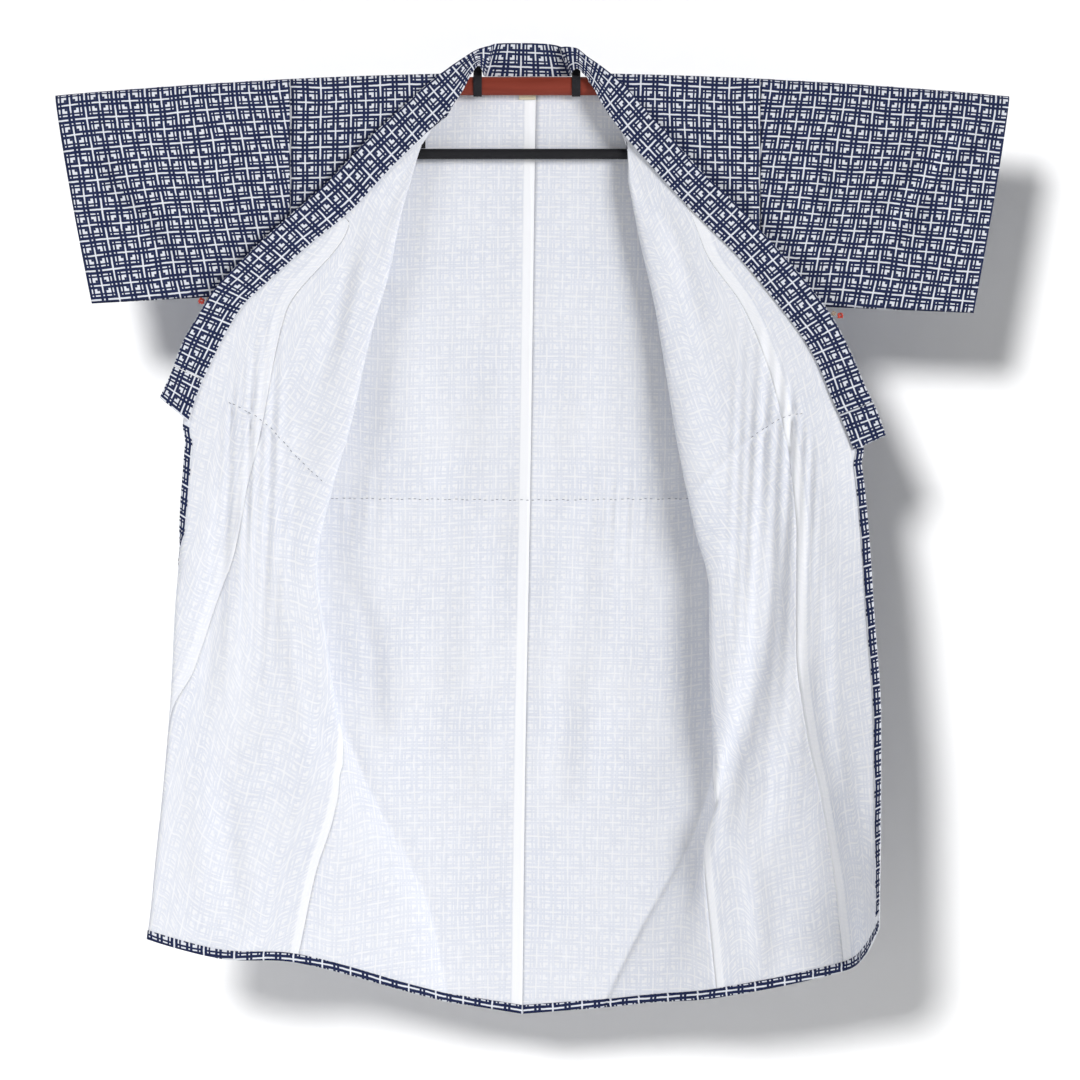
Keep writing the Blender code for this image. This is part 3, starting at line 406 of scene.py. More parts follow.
def shoulder_drop(across):
    return SHOULDER_TOP + SHOULDER_DROOP * (abs(across) / SHOULDER_REACH) ** SHOULDER_POWER


def side_half(drop):
    """Half the distance between front and back at the sleeve seam, and below it half the side fold."""
    return through((49, 240, 320, 350, 1400), (8.5, 8.0, 5.0, SLEEVE_BOTTOM_HALF, SLEEVE_BOTTOM_HALF), drop)


def turned(first, second, share):
    mixed = (1 - share) * first + share * second
    return mixed / max(np.linalg.norm(mixed), 1e-9)


def row_path(side, row):
    """One row of cloth from the centre back out to the free edge: points in mm and their places.

    Places: 0 centre back, 1 back middle, 2 and 3 the two sides of the side fold, 4 edge fold, 5 lap_inner,
    6 lap_middle, 7 outer, 8 free edge.
    """
    out = side["out"]
    c_drop, c_across, c_depth = centre_back_at(row)
    s_drop, s_across, s_depth, s_open = station_at(side["side_fold"], row)
    e_drop, e_across, e_depth, e_open = station_at(side["edge_fold"], row)
    half = side_half(s_drop) * (1 - 0.6 * s_open)
    b_drop = (c_drop + s_drop) / 2
    b_depth = through(column(BACK_MIDDLE_DEPTH, 0), column(BACK_MIDDLE_DEPTH, 1), b_drop)
    points = [
        (c_across, c_depth, -c_drop),
        ((c_across + s_across) / 2, b_depth, -b_drop),
        (s_across, s_depth + half, -s_drop),
        (s_across, s_depth - half, -s_drop),
        (e_across, e_depth, -e_drop),
    ]
    for name in ("lap_inner", "lap_middle", "outer", "free_edge"):
        drop, across, depth = station_at(side[name], row)
        points.append((across, depth, -drop))
    points = np.array(points, float)
    lap = float(np.linalg.norm(points[8] - points[4]))
    drawn = float(smoothstep((row - GORE_ROW + 0.03) / 0.05))
    for k, share in ((5, 0.35), (6, 0.7), (7, 0.9)):
        points[k] = drawn * points[k] + (1 - drawn) * (points[4] + (points[8] - points[4]) * share)
    if lap < LAP_FROM:
        points = points[:5]
        e_open = 1.0
    closed = float(smoothstep((s_drop - 300) / 50))
    fold = np.array((0.0, -1.0, 0.0))
    outward = np.array((float(out), 0.0, 0.0))
    ways = [points[1] - points[0]]
    for k in range(1, len(points) - 1):
        ways.append(points[k + 1] - points[k - 1])
    ways.append(points[-1] - points[-2])
    ways = [way / max(np.linalg.norm(way), 1e-9) for way in ways]
    ways[2] = turned(turned(outward, fold, closed), ways[2], s_open)
    ways[3] = turned(turned(-outward, fold, closed), ways[3], s_open)
    ways[4] = turned(fold, ways[4], e_open)
    closes = 0.0
    if len(points) > 7:
        closes = through(column(side["outer_closes"], 0), column(side["outer_closes"], 1), row)
        ways[7] = turned(-fold, ways[7], 1 - closes)
    roll = EDGE_ROLL_TOP + (EDGE_ROLL - EDGE_ROLL_TOP) * float(smoothstep((e_drop - 140) / 130))
    reach = {2: 34.0, 3: 34.0, 4: roll, 7: OUTER_ROLL}
    ease = {2: s_open if closed > 0.5 else 1.0, 3: s_open if closed > 0.5 else 1.0, 4: e_open, 7: 1 - closes}
    path, places = [points[0]], [0.0]
    for k in range(len(points) - 1):
        chord = np.linalg.norm(points[k + 1] - points[k])
        pull = []
        for end in (k, k + 1):
            length = chord
            if end in reach:
                length = min(chord, reach[end] + (chord - reach[end]) * ease[end] ** 2)
            pull.append(length)
        for t in np.linspace(0, 1, PATH_STEPS + 1)[1:]:
            point = (1 + 2 * t) * (1 - t) ** 2 * points[k]
            point = point + t * t * (3 - 2 * t) * points[k + 1]
            point = point + t * (1 - t) ** 2 * pull[0] * ways[k]
            point = point + t * t * (t - 1) * pull[1] * ways[k + 1]
            path.append(point)
            places.append(k + t)
    under = TUCK_UNDER * (1 - float(smoothstep((row - COLLAR_END_ROW) / 0.02)))
    if lap < LAP_FROM:
        under = 1.0
    if under > 0.01:
        path.append(path[-1] + ways[-1] * under)
        places.append(8.5)
    return np.array(path), np.array(places)


def along(path):
    steps = np.linalg.norm(np.diff(path, axis=0), axis=1)
    return np.concatenate([[0.0], np.cumsum(steps)])


def at_length(path, lengths, wanted):
    return np.stack([np.interp(wanted, lengths, path[:, k]) for k in range(3)], axis=-1)


def seams_of(side, row):
    """The row's path and the lengths along it at which the pieces are cut.

    Lengths: back piece's end, front piece's start, gore seam, free edge, edge fold, half the gap.
    """
    path, places = row_path(side, row)
    lengths = along(path)

    def at(place):
        return float(np.interp(place, places, lengths))

    if row < ARMHOLE_ROW:
        back_end, front_start = at(2.0), at(3.0)
    else:
        place = through(column(side["side_seam"], 0), column(side["side_seam"], 1), row)
        back_end = at(place) - SEAM_GAP / 2
        front_start = at(place) + SEAM_GAP / 2
    end = float(lengths[-1])
    shift = through(column(side["gore_seam"], 0), column(side["gore_seam"], 1), row)
    gore = at(6.0 + shift)
    share = float(smoothstep((row - GORE_ROW) / GORE_EASE))
    gap = (SEAM_GAP / 2 if row > GORE_ROW else 0) + FOLDED_SEAM_GAP * max(0.0, 2 * shift - 1)
    return path, lengths, back_end, front_start, end + (gore - end) * share, end, at(4.0), gap


def outer_length(side, row):
    path, places = row_path(side, row)
    return float(np.interp(7.0, places, along(path)))


def moved_out(grid, distance):
    """The grid's points moved along its normals, so that every face moves by the distance."""
    across = np.diff(grid, axis=1)
    down = np.diff(grid, axis=0)
    normals = np.cross(across[:-1] + across[1:], down[:, :-1] + down[:, 1:])
    normals /= np.maximum(np.linalg.norm(normals, axis=2, keepdims=True), 1e-9)
    around = np.pad(normals, ((1, 1), (1, 1), (0, 0)), mode="edge")
    mean = (around[:-1, :-1] + around[1:, :-1] + around[:-1, 1:] + around[1:, 1:]) / 4
    return grid + mean * distance / np.maximum(np.sum(mean * mean, axis=2, keepdims=True), 0.25)


def sleeve_point(sleeve, u, t, front):
    """u from the seam to the cuff, t from the shoulder line to the lower edge; front or back layer."""
    seam, cuff_top, cuff_low = sleeve["seam"], sleeve["cuff_top"], sleeve["cuff_low"]
    out = math.copysign(1, cuff_top)
    seam_edge = seam + out * (SEAM_GAP + CLOTH_WALL / 4)
    cuff = cuff_top + (cuff_low - cuff_top) * t ** 1.15
    across = seam_edge + (cuff - seam_edge) * u
    top = shoulder_drop(across)
    low = sleeve["seam_drop"] + (sleeve["cuff_drop"] - sleeve["seam_drop"]) * u
    drop = top + (low - top) * t
    over = min(1.0, t * (low - top) / SLEEVE_TOP_ROUND)
    side = HALF_AT_SLEEVE * math.sqrt(1 - (1 - over) ** 2)
    side = min(side, through((0, 0.04, 0.6, 0.9, 1.0), (9.0, 8.5, 7.5, 5.0, 1.6), t))
    bulge = SLEEVE_BULGE * math.sin(math.pi * u) * math.sin(math.pi * min(1, t * 1.1))
    depth = -(side + bulge) if front else side + 0.6 * bulge
    return across, depth, -drop


def even_rows(first, last, count, exact):
    """Rows between first and last, nearly even, with each exact row among them and none too close to it."""
    rows = [r for r in np.linspace(first, last, count) if all(abs(r - e) > 0.0014 for e in exact)]
    return sorted(rows + [e for e in exact if first <= e <= last])


WAIST_ROWS = (0.443, 0.4465, WAIST_ROW, 0.4535, 0.457)
ROWS = even_rows(0.0, 1.0, FINE_ROWS, (0.0, 0.007, 0.2375, 0.241) + WAIST_ROWS + HEM_ROWS)
OVERLAP_ROWS = even_rows(0.175, 1.0, FINE_ROWS, (0.175, 0.178) + WAIST_ROWS + HEM_ROWS)


def seam_band(across, width, shows):
    """Distances that draw a turned-in seam allowance of this width, showing as much as is asked, 0 to 1."""
    return np.maximum((across - (width - BACK_BAND) / MM), (BACK_BAND - BAND_EDGE * shows) / MM)


def cut_rows(side, rows):
    return [seams_of(side, row) for row in rows]


def grain_down(cuts, origins):
    """For every row, how far down the grain each length from the origin lies, in mm."""
    widest = max(cut[1][-1] - origin for cut, origin in zip(cuts, origins))
    places = np.arange(0, widest + GRAIN_STEP, GRAIN_STEP)
    down = [np.zeros(len(places))]
    previous = None
    for cut, origin in zip(cuts, origins):
        points = at_length(cut[0], cut[1], np.clip(origin + places, 0, cut[1][-1]))
        if previous is not None:
            way = np.gradient(points, axis=0)
            way /= np.maximum(np.linalg.norm(way, axis=1, keepdims=True), 1e-6)
            step = points - previous
            step -= np.sum(step * way, axis=1, keepdims=True) * way
            down.append(down[-1] + np.linalg.norm(step, axis=1))
        previous = points
    return places, np.array(down)


def lay(cuts, wanted, origins, grain_from=None, turned_back=False):
    """Points of a piece and, in mm, where each lies on the flat cloth: across the grain and down it."""
    places, down = grain_down(cuts, origins)
    points = np.array([at_length(cut[0], cut[1], row) for cut, row in zip(cuts, wanted)])
    across = np.array([row - origin for row, origin in zip(wanted, origins)])
    along_grain = np.array([np.interp(a, places, d) for a, d in zip(across, down)])
    if turned_back:
        across, along_grain = grain_from - across, -along_grain
    return {"points": points, "across": across, "down": along_grain}


def soft_noise(across, drop):
    """A gentle unevenness of hung cotton, about -1 to 1."""
    wave = np.sin(across / 31.0 + 1.3 * np.sin(drop / 170.0) + 0.7)
    wave += 0.8 * np.sin(across / 19.0 - drop / 160.0 + 2.1 * np.sin(drop / 260.0 + 1.0))
    wave += 0.55 * np.sin(across / 11.5 + drop / 75.0 + 1.7 * np.sin(across / 90.0))
    wave += 0.35 * np.sin(across / 47.0 + drop / 24.0 + 2.0 * np.sin(across / 37.0 + drop / 60.0))
    return wave / 2.3


def line_distance(across, drop, line):
    """Distance to the line and the share of the way along it."""
    line = np.array(line, float)
    best = np.full(across.shape, 1e9)
    share = np.zeros(across.shape)
    count = len(line) - 1
    for k in range(count):
        way = line[k + 1] - line[k]
        t = ((across - line[k][0]) * way[0] + (drop - line[k][1]) * way[1]) / np.dot(way, way)
        t = np.clip(t, 0, 1)
        off = np.hypot(across - line[k][0] - t * way[0], drop - line[k][1] - t * way[1])
        nearer = off < best
        best[nearer] = off[nearer]
        share[nearer] = (k + t[nearer]) / count
    return best, share


def raised(layer, points, waist_drop=None, uneven=1.6, opened=0.0):
    """How far each point stands towards the viewer from the plain hang, in mm.

    Where the side fold has opened, back and front are one surface and share their creases.
    """
    across, drop = points[..., 0], -points[..., 2]
    height = UNEVEN_DEPTH * uneven * soft_noise(across, drop) * smoothstep((drop - 120) / 450)
    for kind, rise, width, line in CREASES:
        if kind != layer and (kind == "sleeve" or layer == "sleeve"):
            continue
        mine = 1.0 if kind == layer else opened
        off, share = line_distance(across, drop, line)
        ends = np.sin(np.pi * np.clip(share, 0.0, 1.0)) ** 0.7
        ends = np.where((share <= 0) | (share >= 1), 0.0, ends)
        height = height + CREASE_DEPTH * mine * rise * ends * np.exp(-((off / width) ** 2))
    if waist_drop is None:
        return height
    below = drop - waist_drop
    height = height + WAIST_TUCK * np.exp(-((below / 4.5) ** 2))
    for kind, first, last, rise, reach, ripple in GATHERS:
        if kind != layer:
            continue
        middle, half = (first + last) / 2, (last - first) / 2
        there = np.exp(-np.abs((across - middle) / half) ** 4)
        fade_below = np.exp(-np.maximum(below, 0) / reach)
        fade_above = np.exp(np.minimum(below, 0) / (reach * 0.45))
        fade = np.where(below > 0, fade_below, fade_above)
        turn = 2 * np.pi * (across + 0.05 * below) / ripple + 1.4 * np.sin(across / 21.0)
        wave = np.sin(turn) + 0.6 * np.sin(turn * 0.53 + 1.1)
        height = height + GATHER_DEPTH * rise * there * fade * wave * smoothstep(np.abs(below) / 7.0)
    return height


def grid_normals(points):
    across = np.gradient(points, axis=1)
    down = np.gradient(points, axis=0)
    normals = np.cross(across, down)
    return normals / np.maximum(np.linalg.norm(normals, axis=2, keepdims=True), 1e-9)


def press(points, height, way):
    """Moves the points by the height along their normals; way is 1 or -1 so that above 0 is to the viewer."""
    return points + grid_normals(points) * (way * height)[..., None]


def faces_of(index):
    quads = np.stack([index[:-1, :-1], index[:-1, 1:], index[1:, 1:], index[1:, :-1]], axis=-1)
    return quads.reshape(-1, 4)


def cloth_mesh(name, points, faces, across, down, near_seam, out):
    """An open sheet with its printed face outwards; points and lengths in mm."""
    if out < 0:
        faces = faces[:, ::-1]
    mesh = bpy.data.meshes.new(name)
    mesh.from_pydata((points * MM).tolist(), [], faces.tolist())
    corners = np.empty(len(mesh.loops), int)
    mesh.loops.foreach_get("vertex_index", corners)
    for layer, first, second in (("weave", across, down), ("seams", near_seam, down)):
        values = np.stack([first, second], axis=1)[corners] * MM
        mesh.uv_layers.new(name=layer).data.foreach_set("uv", values.astype(np.float32).ravel())
    mesh.uv_layers["weave"].active = True
    return mesh


def shell(name, mesh, wall, outside, inside=None, merge=False):
    """Links the sheet and gives it its thickness, its printed and its plain face."""
    if merge:
        work = bmesh.new()
        work.from_mesh(mesh)
        bmesh.ops.remove_doubles(work, verts=work.verts, dist=1e-5)
        work.to_mesh(mesh)
        work.free()
    mesh.shade_smooth()
    mesh.materials.append(outside)
    obj = bpy.data.objects.new(name, mesh)
    bpy.context.scene.collection.objects.link(obj)
    solid = obj.modifiers.new("cloth", "SOLIDIFY")
    solid.thickness = wall * MM
    solid.offset = 0
    solid.use_even_offset = True
    solid.thickness_clamp = 1
    if inside is not None:
        mesh.materials.append(inside)
        solid.material_offset = 1
        solid.material_offset_rim = 1
    return obj


def front_wanted(cut):
    _, _, _, start, gore, _, tip, gap = cut
    stop = gore - gap
    tip = min(max(tip, start + LEG_LEAST), stop - LAP_LEAST)
    round_tip = tip + np.array(TIP_STEPS)
    leg = np.linspace(start, round_tip[0], LEG_COLUMNS + 1)[:-1]
    lap = np.linspace(round_tip[-1], stop, LAP_COLUMNS + 1)[1:]
    return np.concatenate([leg, round_tip, lap])


def back_wanted(cut, row, top_shares):
    start = SEAM_GAP / 2
    even = np.linspace(0, 1, len(top_shares))
    share = float(smoothstep(row / 0.2))
    return start + (cut[2] - start) * (top_shares * (1 - share) + even * share)


def ease_rows(piece, rows, first=0.04, last=0.112):
    """Carries the cloth straight from one row to another, where the lap starts to turn out."""
    start = next(k for k, row in enumerate(rows) if row >= first)
    stop = next(k for k, row in enumerate(rows) if row >= last)
    for k in range(start + 1, stop):
        share = (rows[k] - rows[start]) / (rows[stop] - rows[start])
        for key in ("points", "across", "down"):
            piece[key][k] = piece[key][start] * (1 - share) + piece[key][stop] * share
    return piece


def fold_opens(rows):
    """How far the side fold has opened at each row, 0 to 1."""
    return smoothstep((np.array(rows) - OPEN_FROM) / OPEN_OVER)[:, None]


def lay_front(rows, cuts):
    wanted = [front_wanted(cut) for cut in cuts]
    piece = lay(cuts, wanted, [cut[3] for cut in cuts])
    past_tip = np.array([row - cut[6] for row, cut in zip(wanted, cuts)])
    piece["opened"] = fold_opens(rows)
    piece["keep"] = np.maximum(smoothstep((past_tip - 4) / 34), piece["opened"])
    return ease_rows(piece, rows)


def lay_back(rows, cuts, top_shares):
    wanted = [back_wanted(cut, row, top_shares) for row, cut in zip(rows, cuts)]
    width = cuts[0][2]
    piece = lay(cuts, wanted, [0.0 for _ in cuts], grain_from=width, turned_back=True)
    to_fold = np.array([cut[2] - row for row, cut in zip(wanted, cuts)])
    piece["opened"] = fold_opens(rows)
    piece["keep"] = np.maximum(smoothstep(to_fold / 55), piece["opened"])
    piece["from_centre"] = np.array(wanted)
    return piece


def waist_of(piece, rows):
    return -piece["points"][rows.index(WAIST_ROW), :, 2][None, :]


def top_shares_of(side, cut, front_row):
    """Where the back's columns stand along the top row, so that they meet the front's over the shoulder."""
    path, lengths, end = cut[:3]
    from_slit = front_row[::-1]
    as_far = 2 * PATH_STEPS + 1
    matched = np.interp(from_slit[:, 0] * side["out"], path[:as_far, 0] * side["out"], lengths[:as_far])
    inner = np.linspace(SEAM_GAP / 2, matched[0], BACK_COLUMNS_IN + 1)[:-1]
    shares = (np.concatenate([inner, matched]) - SEAM_GAP / 2) / (end - SEAM_GAP / 2)
    shares[-1] = 1.0
    return shares


def sewn_down(from_seam, opened):
    """Creases die out towards the side seam where the fold there is open."""
    return 1 - opened * (1 - smoothstep(from_seam / SEWN_DOWN_OVER))


def make_body(side, cloth, inside):
    """Back and front of one side, cut in one length over the shoulder."""
    out = side["out"]
    cuts = cut_rows(side, ROWS)
    front = lay_front(ROWS, cuts)
    back = lay_back(ROWS, cuts, top_shares_of(side, cuts[0], front["points"][0]))
    behind, before = back["points"][0][BACK_COLUMNS_IN:], front["points"][0][::-1]
    arcs = []
    for turn in ARC_TURNS:
        angle = math.radians(turn)
        arc = (behind + before) / 2 + (behind - before) / 2 * math.cos(angle)
        middle = (behind + before) / 2
        top = np.array([-shoulder_drop(point[0]) for point in middle])
        arc[:, 2] += (top - middle[:, 2]) * math.sin(angle)
        arcs.append(arc)
    # The shoulder's turn, front to back, so that the grain runs on over it
    lines = [before] + arcs[::-1] + [behind]
    steps = [float(np.mean(np.linalg.norm(b - a, axis=1))) for a, b in zip(lines, lines[1:])]
    run = np.cumsum([0.0] + steps)
    back["down"] = back["down"] - run[-1]
    shape = raised("back", back["points"], waist_of(back, ROWS), opened=back["opened"]) * back["keep"]
    shape = shape * sewn_down(back["across"][:, -1:] - back["across"], back["opened"])
    back["points"] = press(back["points"], shape, -out)
    shape = raised("lap", front["points"], waist_of(front, ROWS), opened=front["opened"]) * front["keep"]
    shape = shape * sewn_down(front["across"], front["opened"])
    front["points"] = press(front["points"], shape, -out)
    count_b, count_f = back["points"].shape[1], front["points"].shape[1]
    rows = len(ROWS)
    flat = [back["points"].reshape(-1, 3), front["points"].reshape(-1, 3), np.concatenate(arcs)]
    points = np.concatenate(flat)
    top_across = front["across"][0][::-1]
    over_top = np.tile(top_across, len(arcs))
    across = np.concatenate([back["across"].ravel(), front["across"].ravel(), over_top])
    arc_down = np.concatenate([np.full(count_f, -length) for length in run[1:-1][::-1]])
    down = np.concatenate([back["down"].ravel(), front["down"].ravel(), arc_down])
    seam_b = np.full(back["points"].shape[:2], NO_SEAM)
    if side["name"] == "left":
        seam_b = back["from_centre"]
    below_arm = (np.array(ROWS) > ARMHOLE_ROW)[:, None]
    seam_f = np.where(below_arm, seam_band(front["across"], SIDE_BAND, SIDE_BAND_SHOWS), NO_SEAM)
    near = np.concatenate([seam_b.ravel(), seam_f.ravel(), np.full(count_f * len(arcs), NO_SEAM)])
    index_b = np.arange(rows * count_b).reshape(rows, count_b)
    index_f = np.arange(rows * count_f).reshape(rows, count_f) + index_b.size
    index_a = np.arange(len(arcs) * count_f).reshape(len(arcs), count_f) + index_b.size + index_f.size
    turn = np.concatenate([index_f[0][::-1][None], index_a[::-1], index_b[0][BACK_COLUMNS_IN:][None]])
    faces = np.concatenate([faces_of(index_b), faces_of(index_f), faces_of(turn)])
    name = "robe_body_" + side["name"]
    mesh = cloth_mesh(name, points, faces, across, down, near, out)
    return shell(name, mesh, COTTON, cloth, inside), back, front


def okumi_wanted(side, rows, cuts):
    wanted = []
    for row, cut in zip(rows, cuts):
        start, end = cut[4] + cut[7], cut[5]
        width = end - start
        turn = float(np.clip(outer_length(side, row), start + 0.25 * width, end - 0.4 * width))
        step = min(2.5, 0.06 * width)
        before = np.linspace(start, turn - step, OKUMI_COLUMNS)
        after = np.linspace(turn + step, end, OKUMI_COLUMNS)
        wanted.append(np.concatenate([before, [turn], after]))
    return wanted


def lay_okumi(side, rows, cuts):
    wanted = okumi_wanted(side, rows, cuts)
    piece = lay(cuts, wanted, [cut[4] + cut[7] for cut in cuts])
    turn = np.array([row[OKUMI_COLUMNS] for row in wanted])[:, None]
    piece["keep"] = 1 - smoothstep((np.array(wanted) - turn + 22) / 20)
    return piece


def flat_piece(name, piece, index, side, cloth, inside, near, wall=COTTON):
    points = piece["points"].reshape(-1, 3)
    across, down = piece["across"].ravel(), piece["down"].ravel()
    mesh = cloth_mesh(name, points, faces_of(index), across, down, near, side["out"])
    return shell(name, mesh, wall, cloth, inside)


def make_okumi(side, cloth, inside):
    """The overlap, sewn to the front's edge from the gore's point down."""
    cuts = cut_rows(side, OVERLAP_ROWS)
    piece = lay_okumi(side, OVERLAP_ROWS, cuts)
    opened = fold_opens(OVERLAP_ROWS)
    height = raised("lap", piece["points"], waist_of(piece, OVERLAP_ROWS), opened=opened)
    piece["points"] = press(piece["points"], height * piece["keep"], -side["out"])
    index = np.arange(piece["across"].size).reshape(piece["across"].shape)
    near = seam_band(piece["across"].ravel(), GORE_BAND, GORE_BAND_SHOWS[side["name"]])
    return flat_piece("robe_overlap_" + side["name"], piece, index, side, cloth, inside, near), piece


def strip_of(side, name, grid, across, down, cloth):
    """A folded strip of the printed face, standing off the robe's inside."""
    grid = moved_out(grid, -side["out"] * STRIP_STANDS)
    index = np.arange(grid.shape[0] * grid.shape[1]).reshape(grid.shape[:2])
    piece = {"points": grid, "across": across, "down": down}
    return flat_piece(name, piece, index, side, cloth, None, np.full(index.size, NO_SEAM), STRIP_WALL)


def make_hem(side, name, parts, back, front, okumi, cloth):
    """The folded hem along the bottom, in one strip over the seams of its parts."""
    first_b, first_o = ROWS.index(HEM_ROWS[0]), OVERLAP_ROWS.index(HEM_ROWS[0])
    lines = []
    if "body" in parts:
        lines += [back["points"][first_b:], front["points"][first_b:]]
    if "overlap" in parts:
        lines.append(okumi["points"][first_o:])
    joins = list(np.cumsum([line.shape[1] for line in lines])[:-1] - 1)
    grid = np.concatenate(lines, axis=1)
    for k in joins:
        grid[:, k] = (grid[:, k] + grid[:, k + 1]) / 2
    grid = np.delete(grid, [k + 1 for k in joins], axis=1)
    apart = np.linalg.norm(np.diff(grid[-1], axis=0), axis=1)
    grid = grid[:, [0] + [k + 1 for k in range(len(apart)) if apart[k] > 0.4]]
    across = np.array([along(line) for line in grid])
    down = np.array([along(line) for line in grid.transpose(1, 0, 2)]).T
    down = down - HEM_LINE + HEM_DRIFT * np.sin(across / 105.0)
    return strip_of(side, name, grid, across, down, cloth)


def make_edge(side, okumi, cloth):
    """The folded strip up the front edge of the overlap."""
    first = next(k for k, row in enumerate(OVERLAP_ROWS) if row > 0.5)
    last = next(k for k, row in enumerate(OVERLAP_ROWS) if row > 0.985)
    grid = []
    for line in okumi["points"][first:last]:
        lengths = along(line)
        width = min(HEM_TURN, 0.25 * lengths[-1])
        grid.append(at_length(line, lengths, np.linspace(lengths[-1] - width, lengths[-1], 5)))
    grid = np.array(grid)
    across = np.array([along(line) for line in grid])
    down = np.array([along(line) for line in grid.transpose(1, 0, 2)]).T
    return strip_of(side, "edge_strip_" + side["name"], grid, across, down, cloth)


def make_sleeve(side, cloth, inside):
    """One sleeve: a flat tube, sewn along its lower edge and open at the cuff and the armhole."""
    sleeve, out = SLEEVES[side["name"]], side["out"]
    round_the_top = (0.0, 0.005, 0.012, 0.022, 0.035, 0.05)
    downs = np.concatenate([round_the_top, np.linspace(0.07, 0.985, 46)])
    lines = []
    for u in np.linspace(0, 1, 64):
        front = [sleeve_point(sleeve, u, t, True) for t in downs]
        back = [sleeve_point(sleeve, u, t, False) for t in downs[:0:-1]]
        low = sleeve_point(sleeve, u, 1.0, True)
        edge = (low[0], 0.0, low[2])
        lines.append([edge] + back + front + [edge])
    points = np.array(lines, float).transpose(1, 0, 2)
    top = len(downs)
    across = np.array([along(line) for line in points])
    across = across + across[top, -1] - across[:, -1:] + 6.0
    down = np.array([along(line) for line in points.transpose(1, 0, 2)]).T
    down = down - down[top]
    middle = np.abs(points[..., 1]) > 1.7
    keep = smoothstep((-points[..., 2] - 60) / 40) * smoothstep((334 + points[..., 2]) / 30) * middle
    height = raised("sleeve", points, None, 1.3)
    pucker = np.exp(-across / 26.0) * np.sin(2 * np.pi * points[..., 2] / 14.0 + np.sin(points[..., 2] / 9.0))
    height = (height + 0.9 * pucker) * keep
    facing = np.sign(points[..., 1])
    points = press(points, height, -out)
    kept_apart = facing * np.maximum(facing * points[..., 1], LAYERS_APART)
    points[..., 1] = np.where(middle, kept_apart, points[..., 1])
    index = np.arange(across.size).reshape(across.shape)
    mesh = cloth_mesh(
        "robe_sleeve_" + side["name"],
        points.reshape(-1, 3),
        faces_of(index),
        across.ravel(),
        down.ravel(),
        np.full(across.size, NO_SEAM),
        -out,
    )
    return shell("robe_sleeve_" + side["name"], mesh, COTTON, cloth, inside, merge=True)


def make_band(name, first, last, cloth):
    """A length of the collar band: folded cotton, printed on both faces, with rounded long edges."""
    table = np.array(COLLAR, float)
    places = np.arange(len(COLLAR), dtype=float)
    shares = np.linspace(0, 1, 15)
    rows = []
    for place in np.linspace(first, last, max(12, int((last - first) * 7))):
        values = [through(places, table[:, k], place) for k in range(6)]
        sewn = np.array((values[0], values[2], -values[1]))
        free = np.array((values[3], values[5], -values[4]))
        sewn = sewn + (sewn - free) / np.linalg.norm(sewn - free) * BAND_TURNED_IN
        rows.append([sewn + (free - sewn) * share for share in shares])
    grid = np.array(rows)
    run = along(grid[:, 7])
    across = np.tile(shares * BAND_WIDTH, (len(grid), 1))
    down = np.tile(run[:, None], (1, len(shares)))
    crest = np.sin(np.pi * shares)[None, :]
    wave = np.sin(down / 17.0 + 1.2 * np.sin(down / 41.0) + across / 14.0) * 0.9
    wave = wave + 0.8 * np.exp(-across / 7.0) * np.sin(down / 3.4 + 2 * np.sin(down / 23.0))
    normals = grid_normals(grid)
    height = (0.6 + 0.5 * wave) * crest
    index = np.arange(across.size).reshape(across.shape)
    quads = faces_of(index)
    thick = normals * (height + COTTON_FOLD)[..., None]
    front, behind = grid + thick, grid - thick
    points = np.concatenate([front.reshape(-1, 3), behind.reshape(-1, 3)])
    rim = np.concatenate([index[0], index[1:, -1], index[-1, -2::-1], index[-2:0:-1, 0]])
    after = np.roll(rim, -1)
    size = index.size
    sides = np.stack([after, rim, rim + size, after + size], axis=-1)
    faces = np.concatenate([quads, quads[:, ::-1] + size, sides])
    weave = np.concatenate([across.ravel(), 2 * BAND_WIDTH - across.ravel()])
    no_seam = np.full(2 * size, NO_SEAM)
    mesh = cloth_mesh(name, points, faces, weave, np.tile(down.ravel(), 2), no_seam, 1)
    work = bmesh.new()
    work.from_mesh(mesh)
    bmesh.ops.recalc_face_normals(work, faces=work.faces)
    work.to_mesh(mesh)
    work.free()
    mesh.shade_smooth()
    mesh.materials.append(cloth)
    obj = bpy.data.objects.new(name, mesh)
    bpy.context.scene.collection.objects.link(obj)
    soft = obj.modifiers.new("folded_edges", "BEVEL")
    soft.width = 0.5 * MM
    soft.segments = 2
    soft.limit_method = "ANGLE"
    soft.angle_limit = math.radians(50)
    return obj


def tube(mesh, points, radius, sides=7):
    """A closed or open thread along the points, added to the bmesh."""
    rings = []
    count = len(points)
    for k in range(count):
        way = points[min(k + 1, count - 1)] - points[max(k - 1, 0)]
        way /= max(np.linalg.norm(way), 1e-9)
        first = np.cross(way, (0.31, 0.9, 0.3))
        first /= np.linalg.norm(first)
        second = np.cross(way, first)
        ring = []
        for turn in np.linspace(0, 2 * math.pi, sides, endpoint=False):
            place = points[k] + radius * (math.cos(turn) * first + math.sin(turn) * second)
            ring.append(mesh.verts.new(place * MM))
        rings.append(ring)
    for a, b in zip(rings, rings[1:]):
        for k in range(sides):
            n = (k + 1) % sides
            mesh.faces.new((a[k], a[n], b[n], b[k]))
    mesh.faces.new(rings[0][::-1])
    mesh.faces.new(rings[-1])


